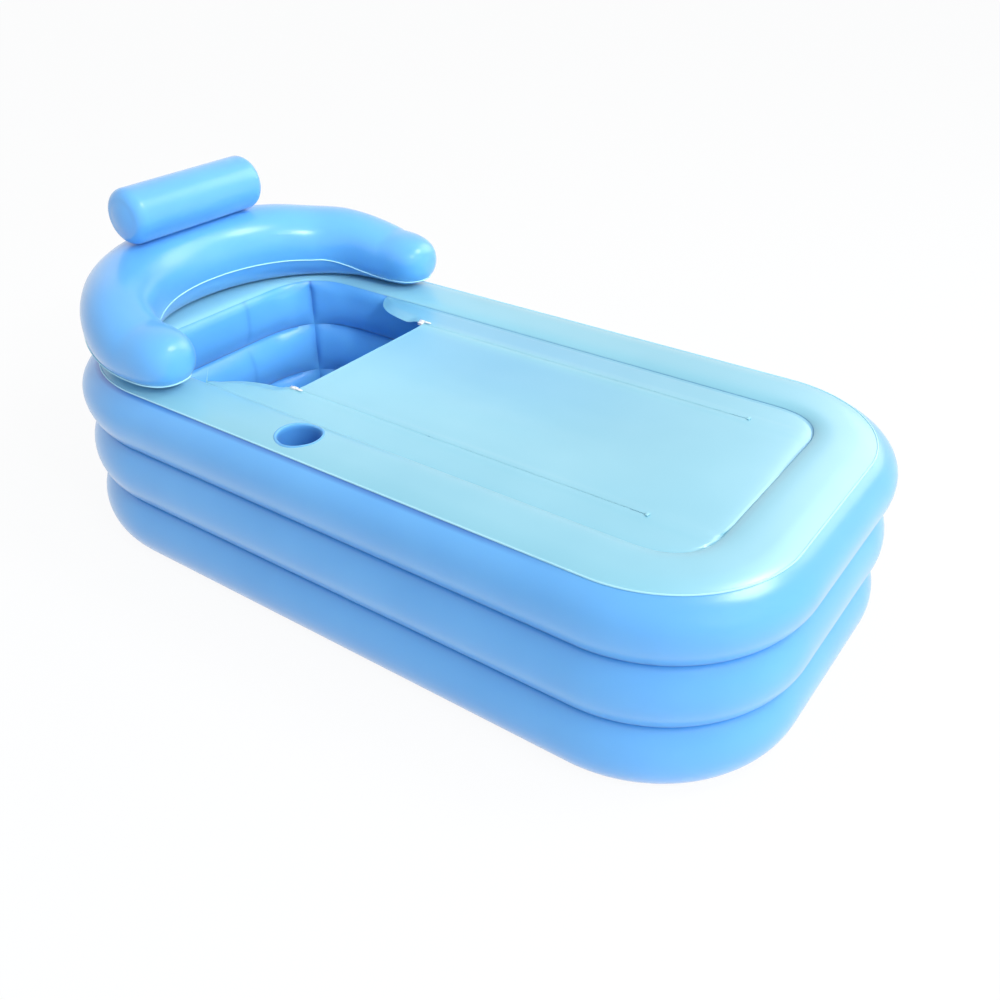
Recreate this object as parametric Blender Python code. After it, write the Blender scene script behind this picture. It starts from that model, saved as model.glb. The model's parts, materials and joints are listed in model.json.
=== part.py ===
"""Inflatable folding bathtub: three stacked air rings, a cyan rim skin and zipped cover, a floor
cushion, a crescent backrest with a headrest pillow, a cup well, air valves and a floor drain.

Metres, +Z up. X runs along the tub with the head end at -X, and -Y is the near long side.
The origin is on the floor under the middle of the overall box.
"""
import math

import bmesh
import bpy
from mathutils import Matrix, Vector

# Overall box
OVERALL_LENGTH = 1.600
OVERALL_WIDTH = 0.840
OVERALL_HEIGHT = 0.640

# Film thicknesses and the gap that touching pieces keep
GAP = 0.0003
CHAMBER_FILM = 0.0004
SKIN_FILM = 0.0006
BASE_FILM = 0.0010
CUT_OVERRUN = 0.010

# Wall rings
RING_HEIGHT = 0.119
RING_WIDTH = 0.165
HEAD_CORNER_RADIUS = 0.320
FOOT_CORNER_RADIUS = 0.270
HEAD_CORNER_DRAW_SHARE = 0.33
FOOT_CORNER_DRAW_SHARE = 0.16
BACKREST_OVERHANG = 0.030
RING_NAMES = ("bottom_ring", "middle_ring", "top_ring")
CORNER_STEPS = 8
RING_BULGE = 0.025
SIDE_FACETS = 5
DOME_FACETS = 20
OUTER_DOME_EXPONENT = 2.1
INNER_DOME_EXPONENT = 4.5
SEAM_BEAD_RADIUS = 0.0012

# Base sheet and floor cushion
BASE_INSET = 0.032
CUSHION_HEAD_CLEARANCE = 0.018
CUSHION_SIDE_CLEARANCE = 0.012
CUSHION_FOOT_STRIP = 0.130
CUSHION_HEIGHT = 0.052
CUSHION_CHANNELS = 5
CHANNEL_STEPS = 4
CHANNEL_DEPTH_SHARE = 0.28
CUSHION_CORNER_RADIUS = 0.085
CUSHION_END_SHARES = ((1.0, 0.64), (0.67, 0.84), (0.33, 0.96), (0.0, 1.0))

# Backrest crescent
BACKREST_WIDTH = 0.165
LOBE_HEIGHT_SHARE = 0.75
LOBE_WIDTH = 0.130
LOBE_REACH = 0.190
LOBE_OUTSET = 0.006
LOBE_TIP_LENGTH = 0.100
LOBE_TIP_EXPONENT = 2.7
CRESCENT_PLAN_EXPONENT = 2.05
CRESCENT_STEPS = 20
CRESCENT_FACETS = 12
CRESCENT_SECTION_EXPONENT = 2.2
CRESCENT_SWELL_EXPONENT = 0.8
TIP_STEPS = 5
TIP_FLAT_SHARE = 0.40
PIPING_RADIUS = 0.0015

# Headrest pillow
PILLOW_DIAMETER = 0.112
PILLOW_LENGTH = 0.345
PILLOW_OFFSET = 0.036
PILLOW_FACETS = 16
PILLOW_EDGE_RADIUS = 0.022
PILLOW_END_BULGE = 0.006
PILLOW_END_FLAT_RADIUS = 0.019
PILLOW_EDGE_STEPS = 3
PILLOW_TAB_LENGTH = 0.120
PILLOW_TAB_WIDTH = 0.014
PILLOW_TAB_CLEARANCE = 0.003

# Cover: a fixed surround and a flap in two panels that folds once and turns up at the foot
ZIP_WALL_DISTANCE = 0.067
HEAD_OPENING_LENGTH = 0.395
FOOT_HINGE_DISTANCE = 0.135
FOLD_SHARE = 0.44
WING_LENGTH = 0.165
WING_STEPS = 8
WING_EXPONENT = 2.0
COVER_SLIT = 0.0003
HINGE_RISE = 0.0015

# Zip
ZIP_CENTRE_GAP = 0.0016
ZIP_BEAD = 0.0018
ZIP_TAPE_WIDTH = 0.0100
ZIP_HEAD_LENGTH = 0.0180
ZIP_FOOT_LENGTH = 0.0300
SLIDER_LENGTH = 0.0120
SLIDER_WIDTH = 0.0090
SLIDER_PLATE = 0.0012
SLIDER_WEB = 0.0010
SLIDER_CLEARANCE = 0.0003
SLIDER_HEAD_CLEARANCE = 0.0010
EAR_THICKNESS = 0.0009
EAR_HEIGHT = 0.0032
EAR_GAP = 0.0030
PULL_BAR_RADIUS = 0.0005
PULL_EYE_RADIUS = 0.0015
PULL_EYE_BORE_RADIUS = 0.0008
PULL_EYE_WIDTH = 0.0024
PULL_NECK_LENGTH = 0.0080
PULL_LENGTH = 0.0240
PULL_WIDTH = 0.0046
PULL_THICKNESS = 0.0012
ZIP_STOP_LENGTH = 0.0050
ZIP_STOP_HEIGHT = 0.0018

# Cup well in the near rim
CUP_EDGE_DISTANCE = 0.135
CUP_INSET = 0.100
CUP_RADIUS = 0.038
CUP_DEPTH = 0.068
CUP_WALL = 0.0008
CUP_LIP_WIDTH = 0.006
CUP_LIP_RISE = 0.0009
CUP_STEPS = 28

# Floor drain
DRAIN_WALL_DISTANCE = 0.075

# Air valves on the far head corner
VALVE_CORNER_STEP = 3
BACKREST_VALVE_STEP = 15

# How finely round and swept forms are faceted
ROUND_STEPS = 16
BAR_STEPS = 8
EYE_STEPS = 12
BEAD_FACETS = 4
BEAD_EXPONENT = 2.0
LUG_STEP_SHARE = 0.1
SHARP_ANGLE_DEGREES = 35
FLATNESS = 0.00001


class Stopper:
    """Sizes of a flanged fitting with a bore and of the strap-hinged cap that closes it."""

    def __init__(self, flange_radius, flange, stem_radius, bore_radius, stem_depth,
                 cap_radius, cap, plug_radius, plug_depth, hinge_offset, lug, lug_width, grip):
        self.flange_radius = flange_radius
        self.flange = flange
        self.stem_radius = stem_radius
        self.bore_radius = bore_radius
        self.stem_depth = stem_depth
        self.cap_radius = cap_radius
        self.cap = cap
        self.plug_radius = plug_radius
        self.plug_depth = plug_depth
        self.hinge_offset = hinge_offset
        self.lug = lug
        self.lug_width = lug_width
        self.grip = grip


VALVE = Stopper(
    flange_radius=0.0128, flange=0.0012, stem_radius=0.0085, bore_radius=0.0060, stem_depth=0.0100,
    cap_radius=0.0095, cap=0.0022, plug_radius=0.0048, plug_depth=0.0035,
    hinge_offset=0.0125, lug=0.0025, lug_width=0.0070, grip=0.0030)
DRAIN = Stopper(
    flange_radius=0.0360, flange=0.0020, stem_radius=0.0210, bore_radius=0.0165, stem_depth=BASE_FILM,
    cap_radius=0.0220, cap=0.0030, plug_radius=0.0145, plug_depth=0.0015,
    hinge_offset=0.0280, lug=0.0045, lug_width=0.0140, grip=0.0060)

# Places that follow from the sizes
RING_CENTRE_X = BACKREST_OVERHANG / 2
RING_HALF_X = (OVERALL_LENGTH - BACKREST_OVERHANG - RING_WIDTH) / 2
RING_HALF_Y = (OVERALL_WIDTH - RING_WIDTH) / 2
HEAD_TURN = HEAD_CORNER_RADIUS - RING_WIDTH / 2
FOOT_TURN = FOOT_CORNER_RADIUS - RING_WIDTH / 2
RING_PITCH = RING_HEIGHT + GAP
RING_FOOT_Z = BASE_FILM + GAP
RING_TOP_Z = RING_FOOT_Z + len(RING_NAMES) * RING_PITCH - GAP
RIM_TOP_Z = RING_TOP_Z + GAP + SKIN_FILM
INNER_HALF_Y = RING_HALF_Y - RING_WIDTH / 2
HEAD_INNER_X = RING_CENTRE_X - RING_HALF_X + RING_WIDTH / 2
FOOT_INNER_X = RING_CENTRE_X + RING_HALF_X - RING_WIDTH / 2
PIPING_SPREAD = PIPING_RADIUS + 2 * GAP
CRESCENT_X = -OVERALL_LENGTH / 2 + BACKREST_WIDTH / 2 + PIPING_SPREAD + PIPING_RADIUS
BACKREST_FOOT_Z = RIM_TOP_Z + GAP
BACKREST_HEIGHT = OVERALL_HEIGHT - PILLOW_DIAMETER - GAP - BACKREST_FOOT_Z
LOBE_HEIGHT = BACKREST_HEIGHT * LOBE_HEIGHT_SHARE
LOBE_END_X = HEAD_INNER_X + LOBE_REACH
LOBE_Y = RING_HALF_Y + LOBE_OUTSET
PILLOW_X = CRESCENT_X + PILLOW_OFFSET
PILLOW_Z = OVERALL_HEIGHT - PILLOW_DIAMETER / 2
ZIP_Y = INNER_HALF_Y - ZIP_WALL_DISTANCE
HEAD_EDGE_X = HEAD_INNER_X + HEAD_OPENING_LENGTH
FOOT_HINGE_X = FOOT_INNER_X - FOOT_HINGE_DISTANCE
FOLD_X = HEAD_EDGE_X + (FOOT_HINGE_X - HEAD_EDGE_X) * FOLD_SHARE
WING_TIP_X = HEAD_EDGE_X - WING_LENGTH
CUP_X = HEAD_EDGE_X + CUP_EDGE_DISTANCE
DRAIN_X = FOOT_INNER_X - DRAIN_WALL_DISTANCE

COLOURS = {
    "blue_film": ((0.085, 0.300, 0.870, 1.0), 0.30),
    "cyan_film": ((0.330, 0.760, 0.870, 1.0), 0.32),
    "clear_bead": ((0.480, 0.820, 0.950, 1.0), 0.25),
    "white_tape": ((0.820, 0.780, 0.800, 1.0), 0.60),
    "white_plastic": ((0.850, 0.860, 0.880, 1.0), 0.35),
    "valve_plastic": ((0.700, 0.820, 0.900, 1.0), 0.30),
}


def clear_scene():
    for item in list(bpy.data.objects):
        bpy.data.objects.remove(item, do_unlink=True)


def material(slot):
    found = bpy.data.materials.get(slot)
    if found:
        return found
    colour, roughness = COLOURS[slot]
    made = bpy.data.materials.new(slot)
    made.use_nodes = True
    shader = made.node_tree.nodes["Principled BSDF"]
    shader.inputs["Base Color"].default_value = colour
    shader.inputs["Roughness"].default_value = roughness
    shader.inputs["Metallic"].default_value = 0.0
    made.diffuse_color = colour
    return made


def add_object(name, bm, slot, place=None):
    """Turns a bmesh into a named object whose faces point outwards."""
    bmesh.ops.recalc_face_normals(bm, faces=bm.faces)
    mesh = bpy.data.meshes.new(name)
    bm.to_mesh(mesh)
    bm.free()
    made = bpy.data.objects.new(name, mesh)
    bpy.context.collection.objects.link(made)
    mesh.shade_smooth()
    mesh.set_sharp_from_angle(angle=math.radians(SHARP_ANGLE_DEGREES))
    if slot:
        mesh.materials.append(material(slot))
    if place is not None:
        made.matrix_world = place
    return made


def add_cutter(name, bm, place=None):
    made = add_object(name, bm, None, place)
    made.hide_render = True
    made.display_type = "WIRE"
    return made


def boolean(target, tool, operation):
    change = target.modifiers.new(tool.name, "BOOLEAN")
    change.operation = operation
    change.solver = "EXACT"
    change.object = tool
    return change


def hollow(target, film):
    """Turns a closed form into a thin film with air inside."""
    wall = target.modifiers.new("film", "SOLIDIFY")
    wall.thickness = film
    wall.offset = -1.0
    wall.use_even_offset = True
    return wall


def round_bar(radius, length, steps=ROUND_STEPS, place=None):
    """A closed cylinder centred on its place, along local Z."""
    bm = bmesh.new()
    bmesh.ops.create_cone(bm, cap_ends=True, segments=steps, radius1=radius, radius2=radius,
                          depth=length, matrix=place or Matrix())
    return bm


def prism(outline, low, high, along="X"):
    """Extrudes an outline of (across, up) points between two stations along an axis."""
    bm = bmesh.new()
    points = []
    for across, up in outline:
        if along == "X":
            points.append(bm.verts.new((low, across, up)))
        elif along == "Y":
            points.append(bm.verts.new((across, low, up)))
        else:
            points.append(bm.verts.new((across, up, low)))
    face = bm.faces.new(points)
    grown = bmesh.ops.extrude_face_region(bm, geom=[face])["geom"]
    shift = {"X": Vector((1, 0, 0)), "Y": Vector((0, 1, 0)), "Z": Vector((0, 0, 1))}[along] * (high - low)
    bmesh.ops.translate(bm, vec=shift, verts=[v for v in grown if isinstance(v, bmesh.types.BMVert)])
    return bm


def loft(rings, close_ends=False, close_loop=False):
    """Joins rings of points with quads; the ends get a flat face or the last ring joins the first."""
    bm = bmesh.new()
    made = [[bm.verts.new(point) for point in ring] for ring in rings]
    pairs = list(zip(made, made[1:]))
    if close_loop:
        pairs.append((made[-1], made[0]))
    for one, two in pairs:
        count = len(one)
        for k in range(count):
            after = (k + 1) % count
            bm.faces.new((one[k], one[after], two[after], two[k]))
    if close_ends:
        bm.faces.new(made[0])
        bm.faces.new(made[-1])
    return bm


def power(value, exponent):
    return math.copysign(abs(value) ** exponent, value)


def oval(half_width, half_height, count, exponent):
    """A rounded section with a flat facet on each of its four sides, as (out, up) points."""
    angles = [2 * math.pi * (k + 0.5) / count for k in range(count)]
    unit = [(power(math.cos(a), 2 / exponent), power(math.sin(a), 2 / exponent)) for a in angles]
    widest = max(out for out, up in unit)
    tallest = max(up for out, up in unit)
    return [(half_width * out / widest, half_height * up / tallest) for out, up in unit]


def grown(points, distance):
    """Moves a closed outline outwards by a distance, with mitred corners."""
    moved = []
    count = len(points)
    for k in range(count):
        before = Vector(points[k]) - Vector(points[k - 1])
        after = Vector(points[(k + 1) % count]) - Vector(points[k])
        one = Vector((before.y, -before.x)).normalized()
        two = Vector((after.y, -after.x)).normalized()
        middle = (one + two).normalized()
        moved.append(tuple(Vector(points[k]) + middle * distance / middle.dot(one)))
    return moved


def plan_stations():
    """Corner centre, outward angle, turn radius and inner side's share at each station round the tub."""
    stations = []
    for side_x, side_y, start in ((1, 1, 0), (-1, 1, 90), (-1, -1, 180), (1, -1, 270)):
        turn = FOOT_TURN if side_x > 0 else HEAD_TURN
        draw_share = FOOT_CORNER_DRAW_SHARE if side_x > 0 else HEAD_CORNER_DRAW_SHARE
        centre = Vector((RING_CENTRE_X + side_x * (RING_HALF_X - turn), side_y * (RING_HALF_Y - turn)))
        for step in range(CORNER_STEPS + 1):
            angle = math.radians(90 * step / CORNER_STEPS)
            inner_share = 1 - draw_share * math.sin(2 * angle) ** 2
            stations.append((centre, math.radians(start) + angle, turn, inner_share))
    return stations


def plan_point(station, out):
    """Point at a distance out from the ring's centre line; the inner side is tighter at the corners."""
    centre, angle, turn, inner_share = station
    reach = turn + (out if out > 0 else out * inner_share)
    return Vector((centre.x + reach * math.cos(angle), centre.y + reach * math.sin(angle)))


def ring_point(station, out, z):
    spot = plan_point(station, out)
    return (spot.x, spot.y, z)


def side_arc():
    """Bulging side of an air ring between its two necks, from the lower one up."""
    half_height = RING_HEIGHT / 2
    radius = (half_height ** 2 + RING_BULGE ** 2) / (2 * RING_BULGE)
    spread = math.asin(half_height / radius)
    neck = RING_WIDTH / 2 - RING_BULGE
    angles = [spread * (2 * step / SIDE_FACETS - 1) for step in range(SIDE_FACETS + 1)]
    widest = max(math.cos(angle) for angle in angles) - math.cos(spread)
    points = []
    for angle in angles:
        share = (math.cos(angle) - math.cos(spread)) / widest
        points.append((neck + RING_BULGE * share, radius * math.sin(angle)))
    return points


def closed_section(outer, inner):
    """Joins an outer and an inner half, each listed from the bottom up, into one section."""
    return outer + [(-out, up) for out, up in reversed(inner)]


def ring_section():
    return closed_section(side_arc(), side_arc())


def rim_half(exponent):
    lower = side_arc()[:SIDE_FACETS // 2 + 2]
    dome = oval(RING_WIDTH / 2, RING_HEIGHT / 2, DOME_FACETS, exponent)
    return lower + dome[1:DOME_FACETS // 4]


def rim_section():
    """Section of the top ring, whose upper side is a dome with a squarer shoulder at the cover."""
    return closed_section(rim_half(OUTER_DOME_EXPONENT), rim_half(INNER_DOME_EXPONENT))


def section_of(level):
    return rim_section() if level == len(RING_NAMES) - 1 else ring_section()


def ring_centre_z(level):
    return RING_FOOT_Z + RING_HEIGHT / 2 + level * RING_PITCH


def split_twisted(bm):
    """Cuts each quad that isn't flat along its shorter diagonal, so that films that touch stay parallel."""
    bm.normal_update()
    twisted = []
    for face in bm.faces:
        middle = face.calc_center_median()
        if max(abs((v.co - middle).dot(face.normal)) for v in face.verts) > FLATNESS:
            twisted.append(face)
    bmesh.ops.triangulate(bm, faces=twisted, quad_method="SHORT_EDGE")
    return bm


def sweep_round_tub(section, centre_z):
    """Carries a section of (out, up) points right round the tub."""
    rings = []
    for station in plan_stations():
        rings.append([ring_point(station, out, centre_z + up) for out, up in section])
    return split_twisted(loft(rings, close_loop=True))


def facet_place(corners, lift):
    """A frame on the middle of a four-cornered facet: Z points out of it, X runs level."""
    corners = [Vector(c) for c in corners]
    middle = sum(corners, Vector()) / len(corners)
    outward = (corners[2] - corners[0]).cross(corners[3] - corners[1]).normalized()
    level = Vector((0, 0, 1)).cross(outward).normalized()
    stray = max(abs((c - middle).dot(outward)) for c in corners)
    upright = outward.cross(level)
    turn = Matrix((level, upright, outward)).transposed().to_4x4()
    return Matrix.Translation(middle + outward * (stray + lift)) @ turn


def stopper_base(name, sizes, place):
    """Flange and stem with an open bore, and the lug that holds the cap's strap."""
    top = sizes.flange
    profile = ((sizes.bore_radius, top), (sizes.flange_radius, top), (sizes.flange_radius, 0),
               (sizes.stem_radius, 0), (sizes.stem_radius, -sizes.stem_depth),
               (sizes.bore_radius, -sizes.stem_depth))
    bm = bmesh.new()
    loop = [bm.verts.new((radius, 0, z)) for radius, z in profile]
    edges = [bm.edges.new((loop[k - 1], loop[k])) for k in range(len(loop))]
    bmesh.ops.spin(bm, geom=loop + edges, angle=2 * math.pi, steps=ROUND_STEPS, axis=(0, 0, 1),
                   cent=(0, 0, 0), use_merge=True)
    base = add_object(name, bm, "valve_plastic", place)
    step = sizes.flange * LUG_STEP_SHARE
    far = -(sizes.hinge_offset + sizes.lug)
    near = -(sizes.hinge_offset + GAP)
    lug_top = sizes.flange + GAP + sizes.cap
    outline = ((far, step), (-sizes.stem_radius, step), (-sizes.stem_radius, top - step),
               (near, top - step), (near, lug_top), (far, lug_top))
    lug = add_cutter(name + "_lug", prism(outline, -sizes.lug_width / 2, sizes.lug_width / 2, "Y"), place)
    boolean(base, lug, "UNION")
    return base


def stopper_cap(name, sizes, place):
    """Cap with its plug, strap and finger grip; its origin is on the strap's bend line."""
    hinge = place @ Matrix.Translation((-sizes.hinge_offset, 0, sizes.flange + GAP + sizes.cap))
    half_strap = sizes.lug_width / 2
    strap_angle = math.asin(half_strap / sizes.cap_radius)
    outline = [(0, half_strap), (0, -half_strap)]
    sweep = 2 * (math.pi - strap_angle)
    for step in range(ROUND_STEPS + 1):
        angle = -math.pi + strap_angle + sweep * step / ROUND_STEPS
        reach = sizes.cap_radius
        if abs(angle) < strap_angle:
            reach += sizes.grip
        outline.append((sizes.hinge_offset + reach * math.cos(angle), reach * math.sin(angle)))
    cap = add_object(name, prism(outline, -sizes.cap, 0, "Z"), "valve_plastic", hinge)
    length = sizes.plug_depth + GAP + sizes.cap
    middle = Matrix.Translation((sizes.hinge_offset, 0, -(sizes.cap + length) / 2))
    plug = add_cutter(name + "_plug", round_bar(sizes.plug_radius, length, place=middle), hinge)
    boolean(cap, plug, "UNION")
    return cap


def fit_stopper(chamber, prefix, sizes, place):
    """Cuts the stem's hole in a chamber and adds the base and its cap."""
    bar = round_bar(sizes.stem_radius + GAP, 2 * (sizes.stem_depth + CUT_OVERRUN))
    boolean(chamber, add_cutter(prefix + "_hole", bar, place), "DIFFERENCE")
    stopper_base(prefix + "_base", sizes, place)
    stopper_cap(prefix + "_cap", sizes, place)


def build_rings():
    stations = plan_stations()
    spot = CORNER_STEPS + 1 + VALVE_CORNER_STEP
    rings = {}
    for level, name in enumerate(RING_NAMES):
        section = section_of(level)
        low, high = section[SIDE_FACETS // 2:SIDE_FACETS // 2 + 2]
        centre_z = ring_centre_z(level)
        ring = add_object(name, sweep_round_tub(section, centre_z), "blue_film")
        hollow(ring, CHAMBER_FILM)
        corners = (ring_point(stations[spot], low[0], centre_z + low[1]),
                   ring_point(stations[spot + 1], low[0], centre_z + low[1]),
                   ring_point(stations[spot + 1], high[0], centre_z + high[1]),
                   ring_point(stations[spot], high[0], centre_z + high[1]))
        fit_stopper(ring, name.replace("ring", "valve"), VALVE, facet_place(corners, GAP))
        rings[name] = ring
    return rings


def rim_points():
    """Part of the ring's section that the skin lies on, from the outer seam to the inner seam."""
    half = len(rim_section()) // 2
    return half - 2, half + 2


def build_rim_skin():
    section = rim_section()
    under = grown(section, GAP)
    over = grown(section, GAP + SKIN_FILM)
    first, last = rim_points()
    centre_z = ring_centre_z(len(RING_NAMES) - 1)
    strip = over[first:last + 1] + under[first:last + 1][::-1]
    skin = add_object("rim_skin", sweep_round_tub(strip, centre_z), "cyan_film")
    start, edge = Vector(section[first]), Vector(section[first - 1])
    down = (edge - start).normalized()
    outward = Vector((-down.y, down.x))
    middle = start + (down + outward) * (SEAM_BEAD_RADIUS * math.sqrt(2) + GAP)
    bead = [(middle.x + out, middle.y + up)
            for out, up in oval(SEAM_BEAD_RADIUS, SEAM_BEAD_RADIUS, BEAD_FACETS, BEAD_EXPONENT)]
    add_object("rim_seam_bead", sweep_round_tub(bead, centre_z), "clear_bead")
    return skin


def rim_height(out):
    """Height of the rim skin's top at a distance out from the ring's centre line."""
    over = grown(rim_section(), GAP + SKIN_FILM)
    centre_z = ring_centre_z(len(RING_NAMES) - 1)
    upper = sorted(point for point in over if point[1] > 0)
    for (x0, z0), (x1, z1) in zip(upper, upper[1:]):
        if x0 <= out <= x1:
            return centre_z + z0 + (z1 - z0) * (out - x0) / (x1 - x0)
    return centre_z


def build_cup_well(top_ring, skin):
    """A cup that hangs in the near rim's air chamber, with a lip that follows the rim."""
    centre = Vector((CUP_X, -OVERALL_WIDTH / 2 + CUP_INSET, 0))
    crown = RIM_TOP_Z
    floor_z = crown - CUP_DEPTH
    inner = CUP_RADIUS
    outer = CUP_RADIUS + CUP_WALL
    lip = CUP_RADIUS + CUP_LIP_WIDTH

    def circle(radius, height):
        ring = []
        for step in range(CUP_STEPS):
            angle = 2 * math.pi * step / CUP_STEPS
            x = centre.x + radius * math.cos(angle)
            y = centre.y + radius * math.sin(angle)
            if isinstance(height, str):
                z = rim_height(abs(y) - RING_HALF_Y)
                z += CUP_LIP_RISE + (CUP_WALL if height == "over" else 0)
            else:
                z = height
            ring.append((x, y, z))
        return ring

    rings = [circle(outer, floor_z - CUP_WALL), circle(outer, "under"), circle(lip, "under"),
             circle(lip, "over"), circle(inner, "over"), circle(inner, floor_z)]
    add_object("cup_well", loft(rings, close_ends=True), "blue_film")
    place = Matrix.Translation((centre.x, centre.y, crown))
    bar = round_bar(outer + GAP, 2 * CUP_DEPTH, CUP_STEPS)
    hole = add_cutter("cup_hole", bar, place)
    boolean(top_ring, hole, "DIFFERENCE")
    boolean(skin, hole, "DIFFERENCE")


def build_base_sheet():
    outline = [tuple(plan_point(station, RING_WIDTH / 2 - BASE_INSET)) for station in plan_stations()]
    return add_object("base_sheet", prism(outline, 0, BASE_FILM, "Z"), "blue_film")


def build_drain(sheet):
    place = Matrix.Translation((DRAIN_X, 0, BASE_FILM + GAP)) @ Matrix.Rotation(math.pi / 2, 4, "Z")
    bar = round_bar(DRAIN.stem_radius + GAP, 2 * (BASE_FILM + CUT_OVERRUN))
    boolean(sheet, add_cutter("drain_hole", bar, place), "DIFFERENCE")
    stopper_base("drain_flange", DRAIN, place)
    stopper_cap("drain_cap", DRAIN, place)


def cushion_section(fullness, drawn_in):
    """Flat underside, rounded sides and a channelled top, as (across, up) points."""
    half = INNER_HALF_Y - CUSHION_SIDE_CLEARANCE - drawn_in
    height = CUSHION_HEIGHT * fullness
    side = CUSHION_HEIGHT / 2
    width = 2 * (half - side)
    steps = CUSHION_CHANNELS * CHANNEL_STEPS
    points = []
    for step in range(steps + 1):
        share = step / steps
        swell = abs(math.sin(math.pi * CUSHION_CHANNELS * share))
        depth = 1 - CHANNEL_DEPTH_SHARE * (1 - swell)
        points.append((half - side - width * share, height * depth))
    points.append((-half, height / 2))
    points.append((-half + side, 0))
    points.append((half - side, 0))
    points.append((half, height / 2))
    return points


def build_floor_cushion():
    foot_z = BASE_FILM + GAP
    head_x = HEAD_INNER_X + CUSHION_HEAD_CLEARANCE
    foot_x = FOOT_INNER_X - CUSHION_FOOT_STRIP
    head = []
    foot = []
    for turn_share, fullness in CUSHION_END_SHARES:
        angle = math.pi / 2 * turn_share
        along = CUSHION_CORNER_RADIUS * (1 - math.sin(angle))
        section = cushion_section(fullness, CUSHION_CORNER_RADIUS * (1 - math.cos(angle)))
        head.append((head_x + along, section))
        foot.insert(0, (foot_x - along, section))
    rings = []
    for x, section in head + foot:
        rings.append([(x, across, foot_z + up) for across, up in section])
    cushion = add_object("floor_cushion", loft(rings, close_ends=True), "blue_film")
    hollow(cushion, CHAMBER_FILM)
    end_height = CUSHION_HEIGHT * CUSHION_END_SHARES[0][1]
    valve_z = foot_z + end_height * (1 - CHANNEL_DEPTH_SHARE / 2) / 2
    turn = Matrix((Vector((0, 1, 0)), Vector((0, 0, 1)), Vector((1, 0, 0)))).transposed().to_4x4()
    place = Matrix.Translation((foot_x + GAP, 0, valve_z)) @ turn
    fit_stopper(cushion, "cushion_valve", VALVE, place)


def crescent_path(spread=0.0):
    """Centre line of the backrest as (point, outward direction, fullness, tip share) stations."""
    reach_x = LOBE_END_X - CRESCENT_X
    stations = []
    for step in range(CRESCENT_STEPS + 1):
        angle = math.radians(-90 + 180 * step / CRESCENT_STEPS)
        x = LOBE_END_X - reach_x * power(math.cos(angle), 2 / CRESCENT_PLAN_EXPONENT)
        y = LOBE_Y * power(math.sin(angle), 2 / CRESCENT_PLAN_EXPONENT)
        stations.append((Vector((x, y)), abs(math.cos(angle)) ** CRESCENT_SWELL_EXPONENT))
    points = [point for point, fullness in stations]
    path = []
    for k, (point, fullness) in enumerate(stations):
        ahead = points[min(k + 1, len(points) - 1)]
        behind = points[max(k - 1, 0)]
        along = (ahead - behind).normalized()
        if k in (0, len(points) - 1):
            along = Vector((-1 if k == 0 else 1, 0))
        path.append((point, Vector((-along.y, along.x)), fullness, 1.0))
    start = []
    finish = []
    for step in range(TIP_STEPS, 0, -1):
        angle = math.pi / 2 * step / (TIP_STEPS + TIP_FLAT_SHARE)
        shift = Vector(((LOBE_TIP_LENGTH + spread) * power(math.sin(angle), 2 / LOBE_TIP_EXPONENT), 0))
        tip_share = power(math.cos(angle), 2 / LOBE_TIP_EXPONENT)
        start.append((points[0] + shift, path[0][1], 0.0, tip_share))
        finish.insert(0, (points[-1] + shift, path[-1][1], 0.0, tip_share))
    return start + path + finish


def crescent_ring(station, spread=0.0):
    """Section points of the backrest at a station of its path, moved out by spread."""
    point, outward, fullness, tip = station
    half_width = (LOBE_WIDTH + (BACKREST_WIDTH - LOBE_WIDTH) * fullness) / 2
    half_height = (LOBE_HEIGHT + (BACKREST_HEIGHT - LOBE_HEIGHT) * fullness) / 2
    centre_z = BACKREST_FOOT_Z + half_height
    section = oval(half_width * tip, half_height * tip, CRESCENT_FACETS, CRESCENT_SECTION_EXPONENT)
    ring = []
    for out, up in grown(section, spread):
        spot = point + outward * out
        ring.append((spot.x, spot.y, centre_z + up))
    return ring


def build_backrest():
    path = crescent_path()
    backrest = add_object("backrest", loft([crescent_ring(s) for s in path], close_ends=True), "blue_film")
    hollow(backrest, CHAMBER_FILM)
    one = crescent_ring(path[TIP_STEPS + BACKREST_VALVE_STEP])
    two = crescent_ring(path[TIP_STEPS + BACKREST_VALVE_STEP + 1])
    place = facet_place((two[0], one[0], one[1], two[1]), GAP)
    fit_stopper(backrest, "backrest_valve", VALVE, place)


def build_backrest_piping():
    """A thin welded edge that runs right round the crescent, below its widest line."""
    spread = PIPING_SPREAD
    path = crescent_path(spread)
    outer = [Vector(crescent_ring(s, spread)[CRESCENT_FACETS - 1]) for s in path]
    inner = [Vector(crescent_ring(s, spread)[CRESCENT_FACETS // 2]) for s in path]
    reach = LOBE_END_X + LOBE_TIP_LENGTH + spread
    near_pole = Vector((reach, -LOBE_Y, outer[0].z))
    far_pole = Vector((reach, LOBE_Y, outer[-1].z))
    loop = [near_pole] + outer + [far_pole] + inner[::-1]
    count = len(loop)
    rings = []
    for k, point in enumerate(loop):
        along = (loop[(k + 1) % count] - loop[k - 1]).normalized()
        side = along.cross(Vector((0, 0, 1))).normalized()
        upright = side.cross(along)
        ring = []
        for out, up in oval(PIPING_RADIUS, PIPING_RADIUS, BEAD_FACETS, BEAD_EXPONENT):
            ring.append(tuple(point + side * out + upright * up))
        rings.append(ring)
    add_object("backrest_piping", loft(rings, close_loop=True), "clear_bead")


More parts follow.
